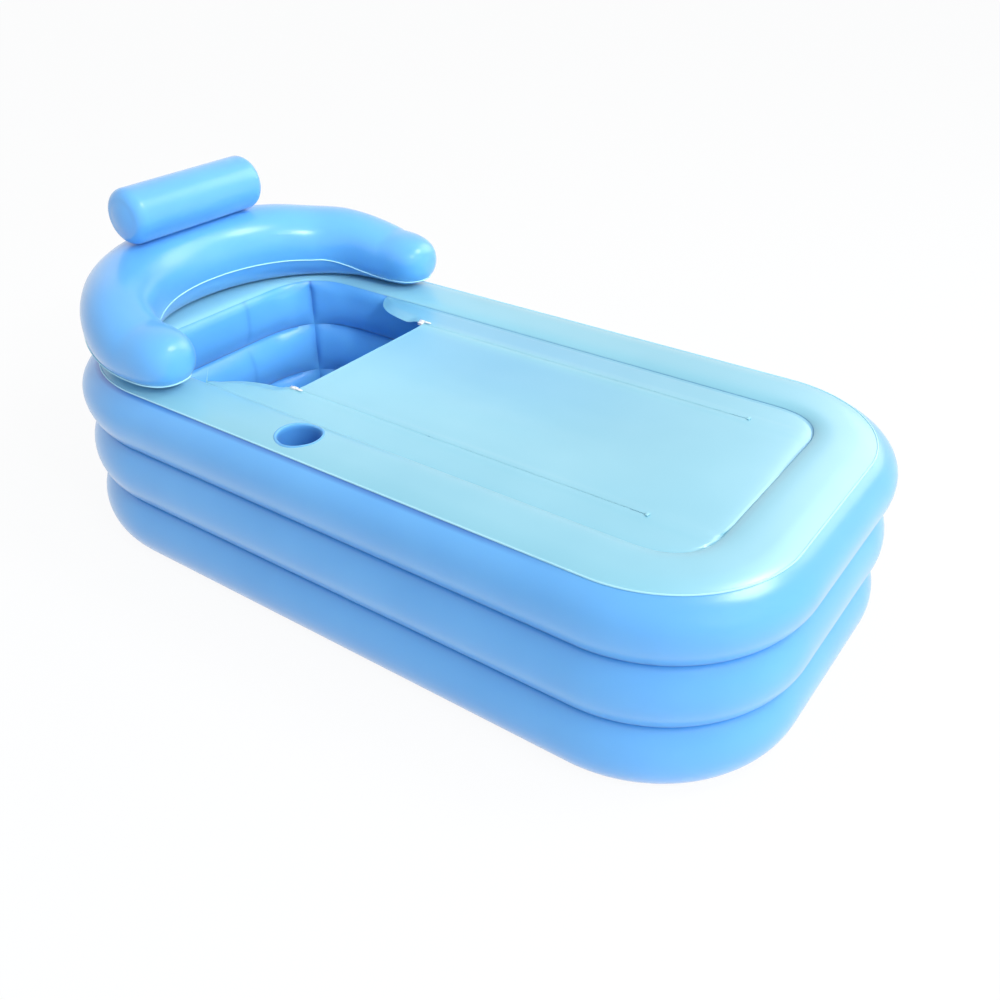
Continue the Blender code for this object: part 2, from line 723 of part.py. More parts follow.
def build_pillow():
    """A bolster along Y with softly rounded ends and a small flat for its valve."""
    facet_reach = 1 / math.cos(math.pi / PILLOW_FACETS)
    radius = PILLOW_DIAMETER / 2
    half = PILLOW_LENGTH / 2
    profile = [(PILLOW_END_FLAT_RADIUS, half)]
    for step in range(PILLOW_EDGE_STEPS + 1):
        angle = math.pi / 2 * (1 - step / PILLOW_EDGE_STEPS)
        profile.append((radius - PILLOW_EDGE_RADIUS * (1 - math.cos(angle)),
                        half - PILLOW_END_BULGE - PILLOW_EDGE_RADIUS * (1 - math.sin(angle))))
    profile += [(r, -y) for r, y in reversed(profile)]
    rings = []
    for r, y in profile:
        ring = []
        for step in range(PILLOW_FACETS):
            angle = 2 * math.pi * (step + 0.5) / PILLOW_FACETS
            reach = r * facet_reach
            ring.append((PILLOW_X + reach * math.cos(angle), y, PILLOW_Z + reach * math.sin(angle)))
        rings.append(ring)
    pillow = add_object("headrest_pillow", loft(rings, close_ends=True), "blue_film")
    hollow(pillow, CHAMBER_FILM)
    turn = Matrix((Vector((-1, 0, 0)), Vector((0, 0, 1)), Vector((0, 1, 0)))).transposed().to_4x4()
    place = Matrix.Translation((PILLOW_X, half + GAP, PILLOW_Z)) @ turn
    fit_stopper(pillow, "pillow_valve", VALVE, place)


def cover_height():
    """Middle level of the cover film, where it meets the rim skin's inner edge."""
    under = grown(rim_section(), GAP)
    return ring_centre_z(len(RING_NAMES) - 1) + under[rim_points()[1]][1] + SKIN_FILM


def cover_inset():
    """Distance in from the ring's centre line at which the cover's outer edge lies."""
    over = grown(rim_section(), GAP + SKIN_FILM)
    return over[rim_points()[1]][0] - GAP


def wing_curve(side):
    """Edge of the head opening from the rim's inner seam to the zip, as plan points."""
    seam_y = RING_HALF_Y + cover_inset()
    zip_y = ZIP_Y + ZIP_CENTRE_GAP / 2 + ZIP_TAPE_WIDTH + GAP
    end_x = HEAD_EDGE_X - ZIP_HEAD_LENGTH
    points = []
    for step in range(WING_STEPS + 1):
        angle = math.pi / 2 * step / WING_STEPS
        x = end_x - (end_x - WING_TIP_X) * power(math.cos(angle), 2 / WING_EXPONENT)
        y = seam_y - (seam_y - zip_y) * power(math.sin(angle), 2 / WING_EXPONENT)
        points.append((x, side * y))
    return points


def build_cover_surround():
    """The fixed part of the cover: two wings beside the flap, joined round the foot end."""
    inset = cover_inset()
    stations = plan_stations()
    corner = CORNER_STEPS + 1
    far_foot = [tuple(plan_point(s, inset)) for s in stations[:corner]]
    near_foot = [tuple(plan_point(s, inset)) for s in stations[3 * corner:]]
    foot_x = FOOT_HINGE_X + ZIP_FOOT_LENGTH
    tape_y = ZIP_Y + ZIP_CENTRE_GAP / 2 + ZIP_TAPE_WIDTH + GAP
    slot_y = ZIP_Y - ZIP_CENTRE_GAP / 2
    hinge_x = FOOT_HINGE_X + COVER_SLIT
    outline = near_foot + far_foot + wing_curve(1)
    outline += [(foot_x, tape_y), (foot_x, slot_y), (hinge_x, slot_y)]
    outline += [(hinge_x, -slot_y), (foot_x, -slot_y), (foot_x, -tape_y)]
    outline += wing_curve(-1)[::-1]
    middle = cover_height()
    film = prism(outline, middle - SKIN_FILM / 2, middle + SKIN_FILM / 2, "Z")
    add_object("cover_surround", film, "cyan_film")


def flap_panel(name, head_x, foot_x, axis_x):
    """One panel of the flap between its two inner zip tapes, with its origin on its hinge line."""
    edge_y = ZIP_Y - ZIP_CENTRE_GAP / 2 - ZIP_TAPE_WIDTH - GAP
    axis = Vector((axis_x, 0, cover_height() + HINGE_RISE))
    low = -HINGE_RISE - SKIN_FILM / 2
    outline = [(head_x - axis_x, -edge_y), (foot_x - axis_x, -edge_y),
               (foot_x - axis_x, edge_y), (head_x - axis_x, edge_y)]
    hinge = Matrix.Translation(axis)
    add_object(name, prism(outline, low, low + SKIN_FILM, "Z"), "cyan_film", hinge)
    for side, where in ((1, "far"), (-1, "near")):
        outline = tape_outline(side, -1, -HINGE_RISE)
        tape = prism(outline, head_x - axis_x, foot_x - axis_x, "X")
        add_object(name.replace("cover_flap", "zip_tape_" + where), tape, "white_tape", hinge)


def tape_outline(side, outward, middle):
    """Section of a zip tape with its row of teeth as a bead, as (across, up) points."""
    inner = ZIP_CENTRE_GAP / 2
    bead = inner + ZIP_BEAD
    outer = inner + ZIP_TAPE_WIDTH
    half_tape = SKIN_FILM / 2
    half_bead = ZIP_BEAD / 2
    points = [(inner, -half_bead), (bead, -half_bead), (bead, -half_tape), (outer, -half_tape),
              (outer, half_tape), (bead, half_tape), (bead, half_bead), (inner, half_bead)]
    return [(side * (ZIP_Y + outward * across), middle + up) for across, up in points]


def build_zip(side, where):
    """The outer tape, its stop at the foot, the slider and its pull on one side of the flap."""
    middle = cover_height()
    start = HEAD_EDGE_X - ZIP_HEAD_LENGTH
    finish = FOOT_HINGE_X + ZIP_FOOT_LENGTH - GAP
    add_object("zip_tape_" + where + "_outer",
               prism(tape_outline(side, 1, middle), start, finish, "X"), "white_tape")

    rest_x = HEAD_EDGE_X - SLIDER_HEAD_CLEARANCE - SLIDER_LENGTH / 2
    place = Matrix.Translation((rest_x, side * ZIP_Y, middle))
    half_web = SLIDER_WEB / 2
    low = ZIP_BEAD / 2 + SLIDER_CLEARANCE
    top = low + SLIDER_PLATE
    half_width = SLIDER_WIDTH / 2
    bar_y = half_width - EAR_GAP / 2 + EAR_THICKNESS
    ear_in = bar_y - EAR_GAP / 2
    ear_out = bar_y + EAR_GAP / 2
    ear_top = top + EAR_HEIGHT
    section = ((-half_width, low), (-half_web, low), (-half_web, -low), (-half_width, -low),
               (-half_width, -top), (half_width, -top), (half_width, -low), (half_web, -low),
               (half_web, low), (ear_out + EAR_THICKNESS, low), (ear_out + EAR_THICKNESS, ear_top),
               (ear_out, ear_top), (ear_out, top), (ear_in, top), (ear_in, ear_top),
               (ear_in - EAR_THICKNESS, ear_top), (ear_in - EAR_THICKNESS, top), (-half_width, top))
    body = prism([(side * across, up) for across, up in section],
                 -SLIDER_LENGTH / 2, SLIDER_LENGTH / 2, "X")
    slider = add_object("zip_slider_" + where, body, "white_plastic", place)
    bar_z = top + SLIDER_CLEARANCE + PULL_EYE_RADIUS
    across = Matrix.Rotation(math.pi / 2, 4, "X")
    axis = place @ Matrix.Translation((0, side * bar_y, bar_z))
    bar = add_cutter("pull_bar_" + where,
                     round_bar(PULL_BAR_RADIUS, EAR_GAP + EAR_THICKNESS, BAR_STEPS, across), axis)
    boolean(slider, bar, "UNION")

    half_neck = PULL_EYE_WIDTH / 2 - GAP / 2
    half_pull = PULL_WIDTH / 2
    shoulder = PULL_NECK_LENGTH + PULL_WIDTH / 2
    corner = PULL_LENGTH - PULL_WIDTH / 2
    outline = [(0, -half_neck), (PULL_NECK_LENGTH, -half_neck), (shoulder, -half_pull),
               (corner, -half_pull), (PULL_LENGTH, -half_neck), (PULL_LENGTH, half_neck),
               (corner, half_pull), (shoulder, half_pull), (PULL_NECK_LENGTH, half_neck), (0, half_neck)]
    pull = add_object("zip_pull_" + where,
                      prism(outline, -PULL_THICKNESS / 2, PULL_THICKNESS / 2, "Z"), "white_plastic", axis)
    eye = add_cutter("pull_eye_" + where, round_bar(PULL_EYE_RADIUS, PULL_EYE_WIDTH, EYE_STEPS, across), axis)
    bore = add_cutter("pull_bore_" + where, round_bar(PULL_EYE_BORE_RADIUS, EAR_GAP, EYE_STEPS, across), axis)
    boolean(pull, eye, "UNION")
    boolean(pull, bore, "DIFFERENCE")

    stop_low = ZIP_BEAD / 2 + GAP
    stop = [(side * (ZIP_Y + across), middle + up) for across, up in
            ((-half_width, stop_low), (half_width, stop_low),
             (half_width, stop_low + ZIP_STOP_HEIGHT), (-half_width, stop_low + ZIP_STOP_HEIGHT))]
    add_object("zip_stop_" + where, prism(stop, finish - ZIP_STOP_LENGTH, finish, "X"), "white_plastic")


def build_cover():
    build_cover_surround()
    flap_panel("cover_flap_front", HEAD_EDGE_X, FOLD_X - COVER_SLIT, FOLD_X)
    flap_panel("cover_flap_rear", FOLD_X + COVER_SLIT, FOOT_HINGE_X - COVER_SLIT, FOOT_HINGE_X)
    build_zip(1, "far")
    build_zip(-1, "near")


def build_pillow_tab():
    """A welded strip that joins the underside of the pillow to the top of the backrest."""
    low = BACKREST_FOOT_Z + BACKREST_HEIGHT + GAP
    high = low + SKIN_FILM
    front = PILLOW_X - PILLOW_DIAMETER / 2 * math.tan(math.pi / PILLOW_FACETS) - PILLOW_TAB_CLEARANCE
    back = front - PILLOW_TAB_WIDTH
    outline = ((back, low), (front, low), (front, high), (back, high))
    add_object("pillow_tab", prism(outline, -PILLOW_TAB_LENGTH / 2, PILLOW_TAB_LENGTH / 2, "Y"), "blue_film")


def build():
    clear_scene()
    rings = build_rings()
    skin = build_rim_skin()
    build_cup_well(rings["top_ring"], skin)
    sheet = build_base_sheet()
    build_drain(sheet)
    build_floor_cushion()
    build_backrest()
    build_backrest_piping()
    build_pillow()
    build_pillow_tab()
    build_cover()


build()
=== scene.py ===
"""Looks of the folding inflatable bathtub: air rings, rim film, zipped cover, crescent backrest,
headrest roll, cup well, floor cushion, air valves and drain.

Metres, +Z up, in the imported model's frame: the head end is at -X and the near long side at -Y.
"""

import json
import math
from types import SimpleNamespace

import bmesh
import bpy
from mathutils import Matrix, Vector, noise


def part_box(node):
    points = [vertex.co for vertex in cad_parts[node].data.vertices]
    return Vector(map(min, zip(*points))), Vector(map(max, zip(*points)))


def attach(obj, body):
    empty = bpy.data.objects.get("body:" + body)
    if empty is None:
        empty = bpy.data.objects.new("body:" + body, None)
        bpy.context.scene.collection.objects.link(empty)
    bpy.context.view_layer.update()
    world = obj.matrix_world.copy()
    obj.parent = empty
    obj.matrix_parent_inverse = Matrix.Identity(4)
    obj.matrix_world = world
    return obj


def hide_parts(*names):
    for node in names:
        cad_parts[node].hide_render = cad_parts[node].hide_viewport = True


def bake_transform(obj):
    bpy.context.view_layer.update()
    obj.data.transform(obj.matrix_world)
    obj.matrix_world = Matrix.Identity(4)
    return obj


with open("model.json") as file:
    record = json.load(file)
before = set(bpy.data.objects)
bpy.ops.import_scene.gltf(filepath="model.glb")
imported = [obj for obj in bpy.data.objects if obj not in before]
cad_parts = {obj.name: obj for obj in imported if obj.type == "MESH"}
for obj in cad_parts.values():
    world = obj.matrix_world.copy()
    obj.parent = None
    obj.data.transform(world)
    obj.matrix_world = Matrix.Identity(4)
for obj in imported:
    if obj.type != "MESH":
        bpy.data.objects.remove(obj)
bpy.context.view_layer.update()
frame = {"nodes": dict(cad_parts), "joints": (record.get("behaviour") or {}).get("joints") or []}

# Camera, fitted to the photograph's outlines
IMAGE_WIDTH = 1000
SENSOR_WIDTH = 36.0
FOCAL_PIXELS = 1036.7
CAMERA_PLACE = (1.1007, -1.3930, 1.2265)
CAMERA_YAW_DEGREES = 35.14
CAMERA_PITCH_DEGREES = 32.77

# Sizes repeated from the part's source
GAP = 0.0003
RING_WIDTH = 0.165
RING_HEIGHT = 0.119
RING_BULGE = 0.025
HEAD_CORNER_RADIUS = 0.320
FOOT_CORNER_RADIUS = 0.270
HEAD_CORNER_DRAW_SHARE = 0.33
FOOT_CORNER_DRAW_SHARE = 0.16
OUTER_DOME_EXPONENT = 2.1
INNER_DOME_EXPONENT = 4.5
OUTER_SEAM_DEGREES = 63
INNER_SEAM_DEGREES = 45
SKIN_FILM = 0.0006
BACKREST_WIDTH = 0.165
LOBE_WIDTH = 0.130
LOBE_REACH = 0.190
LOBE_OUTSET = 0.006
LOBE_TIP_LENGTH = 0.100
LOBE_TIP_EXPONENT = 2.7
CRESCENT_PLAN_EXPONENT = 2.05
CRESCENT_SECTION_EXPONENT = 2.2
CRESCENT_SWELL_EXPONENT = 0.8
PILLOW_EDGE_RADIUS = 0.022
PILLOW_END_BULGE = 0.006
ZIP_CENTRE_GAP = 0.0016
ZIP_TAPE_WIDTH = 0.0100
ZIP_HEAD_LENGTH = 0.0180
ZIP_FOOT_LENGTH = 0.0300
COVER_SLIT = 0.0003
CUP_RADIUS = 0.038
CUP_DEPTH = 0.068
CUP_LIP_WIDTH = 0.006
CUSHION_CHANNELS = 5
CUSHION_CORNER_RADIUS = 0.085

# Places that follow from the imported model
RING_LOW, RING_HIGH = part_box("top_ring")
RING_CENTRE_X = (RING_LOW.x + RING_HIGH.x) / 2
RING_HALF_X = (RING_HIGH.x - RING_LOW.x - RING_WIDTH) / 2
RING_HALF_Y = (RING_HIGH.y - RING_LOW.y - RING_WIDTH) / 2
HEAD_TURN = HEAD_CORNER_RADIUS - RING_WIDTH / 2
FOOT_TURN = FOOT_CORNER_RADIUS - RING_WIDTH / 2
FOOT_CENTRE = Vector((RING_CENTRE_X + RING_HALF_X - FOOT_TURN, RING_HALF_Y - FOOT_TURN, 0))
HEAD_CENTRE = Vector((RING_CENTRE_X - RING_HALF_X + HEAD_TURN, RING_HALF_Y - HEAD_TURN, 0))
TOP_CENTRE_Z = RING_HIGH.z - RING_HEIGHT / 2
RIM_TOP_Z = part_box("rim_skin")[1].z
COVER_Z = (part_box("cover_surround")[0].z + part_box("cover_surround")[1].z) / 2
SEAM_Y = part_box("cover_surround")[1].y
SEAM_OUT = SEAM_Y - RING_HALF_Y
HEAD_EDGE_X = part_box("cover_flap_front")[0].x
FOLD_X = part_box("cover_flap_front")[1].x + COVER_SLIT
HINGE_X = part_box("cover_flap_rear")[1].x + COVER_SLIT
FLAP_EDGE_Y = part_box("cover_flap_front")[1].y
ZIP_Y = FLAP_EDGE_Y + GAP + ZIP_TAPE_WIDTH + ZIP_CENTRE_GAP / 2
WING_TIP_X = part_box("cover_surround")[0].x
CUP_LOW, CUP_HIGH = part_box("cup_well")
CUP_CENTRE = (CUP_LOW + CUP_HIGH) / 2
BACK_LOW, BACK_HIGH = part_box("backrest")
BACKREST_HEIGHT = BACK_HIGH.z - BACK_LOW.z
CRESCENT_X = BACK_LOW.x + BACKREST_WIDTH / 2
LOBE_END_X = RING_CENTRE_X - RING_HALF_X + RING_WIDTH / 2 + LOBE_REACH
LOBE_Y = RING_HALF_Y + LOBE_OUTSET

# Fineness of the film's meshes
MERGE = 1e-5
FINE_MERGE = 1e-6
CORNER_STEPS = 60
RUN_STEP = 0.025
END_STEP = 0.009
SIDE_STEPS = 14
DOME_STEPS = 12
STRIP_OUTER_STEPS = 8
STRIP_INNER_STEPS = 12
PANEL_STEP = 0.004
PANEL_ROWS = 72
WING_STEPS = 24
BAND_STEPS = 75
BAND_ROWS = 14
FOOT_STEPS = 14
MIDDLE_ROWS = 18
SLOT_ROWS = 2
ROOT_STEPS = 3
CRESCENT_ROUND_STEPS = 56
CRESCENT_LONG_STEPS = 180
PIPING_STEPS = 480
BEAD_SIDES = 8
SPUN_STEPS = 72
CUSHION_STEPS = (140, 90)
SHARP_FILM_DEGREES = 50
SHARP_TAPE_DEGREES = 45
SHARP_FITTING_DEGREES = 40

# Vinyl film's bumps
WAVE_HEIGHT = 0.004
WAVE_STRENGTH = 0.08
GRAIN_HEIGHT = 0.0001
GRAIN_STRENGTH = 0.03

# Air rings: the inner wall's weld creases at the head, and painted shade in the creases, at the rings' necks and in a
# line under the rim's outer seam
INNER_WALL_RUN = (0.050, 0.078)
CREASE_RUN_OUT = 0.035
CORNER_CREASE_DEGREES = 45
CORNER_CREASE_DEPTH = 0.016
CORNER_CREASE_SPREAD = 2.5
CORNER_SWELL_DEGREES = (64, 26)
CORNER_SWELL_SPREAD = 11
CORNER_SWELL_SHARE = 0.40
# Painted shade along the corner creases and the head wall's crease
CREASE_TONE_DEGREES = 1.0
HEAD_CREASE_Y = 0.055
HEAD_CREASE_DEPTH = 0.0022
HEAD_CREASE_SPREAD = 0.006
HEAD_CREASE_PAINTED_SHADE = 0.45
HEAD_CREASE_TONE_REACH = 0.004
# Painted shade at the rings' necks, where one ring meets the next
NECK_PAINTED_SHADE = 0.20
NECK_TONE_REACH = 0.006
# A painted shadow line on the top ring under the rim's outer seam; the reach also serves the painted shade line at the
# cover's seam
UNDER_SEAM_OUT = 0.0425
UNDER_SEAM_RUN = (-0.56, -0.30)
SEAM_TONE_REACH = 0.0016

# Rim film, its weld bead, and the cup's hole
RIM_FILM_TOP = 0.0010
RIM_FILM_UNDER = 0.0004
RIM_WELD_RADIUS = 0.0018
RIM_WELD_OUT = 0.0014
RIM_WELD_UP = 0.0004
CUP_HOLE_CLEARANCE = 0.002
CUP_HOLE_STEPS = 64

# Cover: its seam's valley, wings, sag, hem, folds, and painted shade along its far seam and over its panel's far, head
# part
FAR_SEAM_RUN = (-0.04, 0.22)
VALLEY_OUT = -0.0748
VALLEY_DEPTH = 0.0028
VALLEY_REACH = 0.009
NEAR_VALLEY_SHARE = 0.3
WING_DROOP = 0.008
WING_DROOP_REACH = 0.030
FLAP_SAG = 0.0060
SAG_HEAD_RUN = (-0.08, 0.20)
SAG_FOOT_RUN = 0.30
SAG_FULLNESS = 0.8
FLAP_LINES = 0.0012
FLAP_LINE_LENGTH = 0.30
FLAP_LINE_NARROWING = 5
FLAP_LINE_SEED = 3.1
HEM_WIDTH = 0.004
HEM_RISE = 0.0008
HEM_CROWDING = 1.6
FOLD_TAIL = 0.030
ZIP_SHOW = 0.0013
TAPE_LIFT = 0.0006
TAPE_LIFT_RUN = 0.010
# Painted shade where the cover's film hangs free, toward the far side and the head, left out along the zip's tape
FREE_FILM_PAINTED_SHADE = 0.42
FREE_FILM_EDGE = (-0.002, 0.004)
FREE_FILM_ACROSS = (-0.12, 0.11)
FREE_FILM_ALONG = (-0.55, 0.0)
TAPE_TONE_PLACE = -0.006
TAPE_TONE_REACH = 0.018

# Backrest: crown, slim bends, lobes drawn back and in, and its piping
BODY_SHARE = 0.80
TIP_TURN_SHARE = 0.995
LINE_STEP = 0.004
LOBE_HEIGHT_SHARE = 0.68
LOBE_HEIGHT = BACKREST_HEIGHT * LOBE_HEIGHT_SHARE
CROWN_LIFT = 0.008
BEND_SLIM = 0.012
BEND_FULLNESS = 0.50
BEND_SPREAD = 0.30
NEAR_LOBE_PULL = (0.036, 0.016)
FAR_LOBE_PULL = (-0.004, 0.005)
LOBE_PULL_START = 0.40
BACK_VALVE_S = 0.4425
BACK_VALVE_REACH = 0.10
BACKREST_SEAT_CLEARANCE = 0.0004
PIPING_BELOW_DEGREES = 15
PIPING_DROP_DEGREES = 22
PIPING_DROP_RUN = (0.50, 0.80)
PIPING_SPREAD = 0.0010
PIPING_RADIUS = 0.0014

# Headrest roll: steps over its flat end, its rounded edge and its side
ROLL_END_STEPS = 7
ROLL_EDGE_STEPS = 8
ROLL_SIDE_STEPS = 12

# Floor cushion: points crowd toward its edges, and weld lines draw the channels in
CUSHION_CROWDING = (1.6, 1.3)
CHANNEL_DEPTH_SHARE = 0.55
CHANNEL_FULLNESS = 0.7
CHANNEL_END_RUN = (0.01, 0.06)

# Cup: (radius share, rise) over its bottom disc, and (width, rise) round its rolled lip
CUP_DISC = ((0.0, 0.0012), (0.50, 0.0010), (0.86, 0.0012), (0.95, 0.0020))
CUP_FOOT_RISE = 0.0060
CUP_FOOT_INSET = 0.0004
CUP_WALL_DROP = 0.003
CUP_WALL_STEPS = 8
CUP_LIP = ((0.0005, -0.0006), (0.0018, 0.0010), (0.0034, 0.0016), (0.0050, 0.0011),
           (CUP_LIP_WIDTH, 0.0002), (CUP_LIP_WIDTH, -0.0006), (0.0012, -0.0008), (0.0010, -0.0060))
CUP_BACK_RISE = 0.004
CUP_BACK_WIDTH = 0.0010
CUP_BACK_SHARE = 0.9
CUP_LEVEL_LOW = 0.02
CUP_LEVEL_HIGH = 0.004
# Painted shade deeper down inside the cup
CUP_PAINTED_SHADE = 0.55
CUP_TONE_RUN = (0.002, 0.012)

# Zips
TAPE_START = 0.0006
TAPE_STEP = 0.006
TAPE_ROWS = 8
TAPE_TUCK = 0.004
TAPE_TUCK_DROP = 0.0009
TAPE_THICKNESS = 0.0005
TAPE_RIPPLE = 0.00008
TAPE_RIPPLE_LENGTH = 0.03
TOOTH_PITCH = 0.0026
TOOTH_LENGTH = 0.0018
TOOTH_REACH = 0.0011
TOOTH_SHARE = 0.46
TOOTH_HEIGHT = 0.0018
TOOTH_EDGE = 0.0002
TOOTH_SHIFT = 0.02
OTHER_TOOTH_SHIFT = 0.52
SLIDER_EDGE = 0.0003
STOP_EDGE = 0.0004

# Air valves and drain, and the ways that they face
VALVE = SimpleNamespace(flange_radius=0.0128, flange=0.0012, stem_radius=0.0085, bore_radius=0.0060, stem=0.0100,
                        cap_radius=0.0095, cap=0.0022, plug_radius=0.0048, plug=0.0035, offset=0.0125,
                        lug=0.0025, lug_width=0.0070, grip=0.0030)
DRAIN = SimpleNamespace(flange_radius=0.0360, flange=0.0020, stem_radius=0.0210, bore_radius=0.0165, stem=0.0010,
                        cap_radius=0.0220, cap=0.0030, plug_radius=0.0145, plug=0.0015, offset=0.0280,
                        lug=0.0045, lug_width=0.0140, grip=0.0060)
SEAT_STEPS = 56
LID_STEPS = 48
FLANGE_EDGE_SHARE = 0.35
FLANGE_LIFT = 0.0001
LUG_FOOT_SHARE = 0.2
CAP_EDGE_SHARE = 0.3
DISH_SHARES = (0.72, 0.66)
DISH_DEPTH_SHARE = 0.7
STRAP_THICKNESS = 0.0012
STRAP_SHARE = 0.55
STRAP_ROOT_SHARE = 0.9
GRIP_SHARE = 0.4
LUG_EDGE = 0.0003
STRAP_EDGE = 0.0002
STRAP_INSET = 0.0004
CORNER_FACET = math.radians(129.375)
CORNER_OUTWARD = (math.cos(CORNER_FACET), math.sin(CORNER_FACET), 0)
VALVE_OUTWARD = {"bottom": CORNER_OUTWARD, "middle": CORNER_OUTWARD, "top": CORNER_OUTWARD, "cushion": (1, 0, 0),
                 "backrest": (-0.5779, 0.6622, 0.4770), "pillow": (0, 1, 0)}

# Stage and light
FLOOR_HALF = 12
FLOOR_DROP = 0.0006
FLOOR_COLOUR = (0.86, 0.88, 0.90, 1)
FLOOR_WHITE_SHARE = 0.93
WORLD_COLOUR = (0.90, 0.95, 1.0, 1)
WORLD_STRENGTH = 0.70
WHITE = (1, 1, 1, 1)


# ---- pieces

def mesh_from(name, bm):
    mesh = bpy.data.meshes.new(name)
    bm.to_mesh(mesh)
    bm.free()
    return mesh


def add_object(name, data):
    made = bpy.data.objects.new(name, data)
    bpy.context.scene.collection.objects.link(made)
    return made


def add_piece(name, bm, finish, node, body="tub"):
    """Turns a bmesh into a smooth piece that rides on a body, when one is given, and hides the CAD node it takes the
    place of.
    """
    bmesh.ops.recalc_face_normals(bm, faces=bm.faces)
    mesh = mesh_from(name, bm)
    mesh.shade_smooth()
    mesh.materials.append(finish)
    piece = add_object(name, mesh)
    if body:
        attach(piece, body)
    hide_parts(node)
    return piece


def sharpen(piece, degrees):
    piece.data.set_sharp_from_angle(angle=math.radians(degrees))


def line_of(bm, spots, closed):
    """Verts and edges of a new line through spots."""
    verts = [bm.verts.new(spot) for spot in spots]
    ends = verts[1:] + verts[:1] if closed else verts[1:]
    return verts, [bm.edges.new(pair) for pair in zip(verts, ends)]


def line_in(grown):
    """Verts and edges of the line that an operator has grown."""
    verts = [g for g in grown if isinstance(g, bmesh.types.BMVert)]
    inside = set(verts)
    return verts, [g for g in grown if isinstance(g, bmesh.types.BMEdge) and inside.issuperset(g.verts)]


def power(value, exponent):
    return math.copysign(abs(value) ** exponent, value)


def sweep_round_tub(section, centre_z):
    """Spins a closed section of (out, up) points round the corners and pulls it along the straight runs."""
    bm = bmesh.new()
    start_x = FOOT_CENTRE.x + FOOT_TURN
    verts, edges = line_of(bm, [(start_x + out, FOOT_CENTRE.y, centre_z + up) for out, up in section], True)
    long_run = Vector((HEAD_CENTRE.x - FOOT_CENTRE.x, 0, 0))
    runs = ((FOOT_CENTRE, long_run),
            (HEAD_CENTRE, Vector((0, -2 * HEAD_CENTRE.y, 0))),
            (Vector((HEAD_CENTRE.x, -HEAD_CENTRE.y, 0)), -long_run),
            (Vector((FOOT_CENTRE.x, -FOOT_CENTRE.y, 0)), Vector((0, 2 * FOOT_CENTRE.y, 0))))
    for centre, run in runs:
        last = bmesh.ops.spin(bm, geom=verts + edges, cent=centre, axis=(0, 0, 1), angle=math.pi / 2,
                              steps=CORNER_STEPS, use_duplicate=False)["geom_last"]
        verts, edges = line_in(last)
        steps = math.ceil(run.length / (RUN_STEP if run.x else END_STEP))
        for _ in range(steps):
            grown = bmesh.ops.extrude_edge_only(bm, edges=edges)["geom"]
            verts, edges = line_in(grown)
            bmesh.ops.translate(bm, vec=run / steps, verts=verts)
    bmesh.ops.remove_doubles(bm, verts=bm.verts, dist=MERGE)
    for vert in bm.verts:
        tighten(vert)
    return bm


def mapped_sheet(u_steps, v_steps, place):
    """A grid whose (u, v) in 0 to 1 go where place says; edges that meet are merged."""
    bm = bmesh.new()
    bmesh.ops.create_grid(bm, x_segments=u_steps, y_segments=v_steps, size=0.5)
    for vert in bm.verts:
        vert.co = place(vert.co.x + 0.5, vert.co.y + 0.5)
    bmesh.ops.remove_doubles(bm, verts=bm.verts, dist=FINE_MERGE)
    return bm


def joined_sheets(sheets, distance):
    """One form of several mapped sheets, given as (u_steps, v_steps, place), merged where they meet."""
    bm = bmesh.new()
    for sheet in sheets:
        mesh = mesh_from("part", mapped_sheet(*sheet))
        bm.from_mesh(mesh)
        bpy.data.meshes.remove(mesh)
    bmesh.ops.remove_doubles(bm, verts=bm.verts, dist=distance)
    return bm


def spun(profile, steps, place, closed=False):
    """Spins (radius, height) points about local Z and puts the form at a place."""
    bm = bmesh.new()
    verts, edges = line_of(bm, [(radius, 0, z) for radius, z in profile], closed)
    bmesh.ops.spin(bm, geom=verts + edges, cent=(0, 0, 0), axis=(0, 0, 1), angle=2 * math.pi,
                   steps=steps, use_merge=True)
    bmesh.ops.remove_doubles(bm, verts=bm.verts, dist=FINE_MERGE)
    bmesh.ops.transform(bm, matrix=place, verts=bm.verts)
    return bm


def cut_cup_hole(piece):
    """Cuts the cup's upright round hole in a closed piece."""
    radius = CUP_RADIUS + CUP_HOLE_CLEARANCE
    bm = bmesh.new()
    bmesh.ops.create_cone(bm, cap_ends=True, segments=CUP_HOLE_STEPS, radius1=radius, radius2=radius,
                          depth=2 * CUP_DEPTH, matrix=Matrix.Translation((CUP_CENTRE.x, CUP_CENTRE.y, RIM_TOP_Z)))
    tool = add_object("hole", mesh_from("hole", bm))
    change = piece.modifiers.new("hole", "BOOLEAN")
    change.operation = "DIFFERENCE"
    change.solver = "EXACT"
    change.object = tool
    bpy.context.view_layer.update()
    cut = bpy.data.meshes.new_from_object(piece.evaluated_get(bpy.context.evaluated_depsgraph_get()))
    piece.modifiers.remove(change)
    piece.data = cut
    bpy.data.objects.remove(tool)


def smooth_step(value, low, high):
    share = min(max((value - low) / (high - low), 0), 1)
    return share * share * (3 - 2 * share)


def hill(value, centre, width):
    return math.exp(-((value - centre) / width) ** 2)


def crease(value, centre, spread):
    return math.exp(-abs(value - centre) / spread)


def wander(x, y, scale, seed):
    """Smooth noise from -1 to 1 that changes over a length."""
    return noise.noise(Vector((x / scale + seed, y / scale - seed, 2 * seed)))


# ---- the tub's plan

def corner_of(x):
    """Centre, turn radius and inner corner's draw of the tub's end that a station belongs to."""
    if x < RING_CENTRE_X:
        return HEAD_CENTRE, HEAD_TURN, HEAD_CORNER_DRAW_SHARE
    return FOOT_CENTRE, FOOT_TURN, FOOT_CORNER_DRAW_SHARE


def inner_share(draw_share, angle):
    """Share of its distance that the inner side keeps at a corner angle, which makes the corner tighter."""
    return 1 - draw_share * math.sin(2 * angle) ** 2


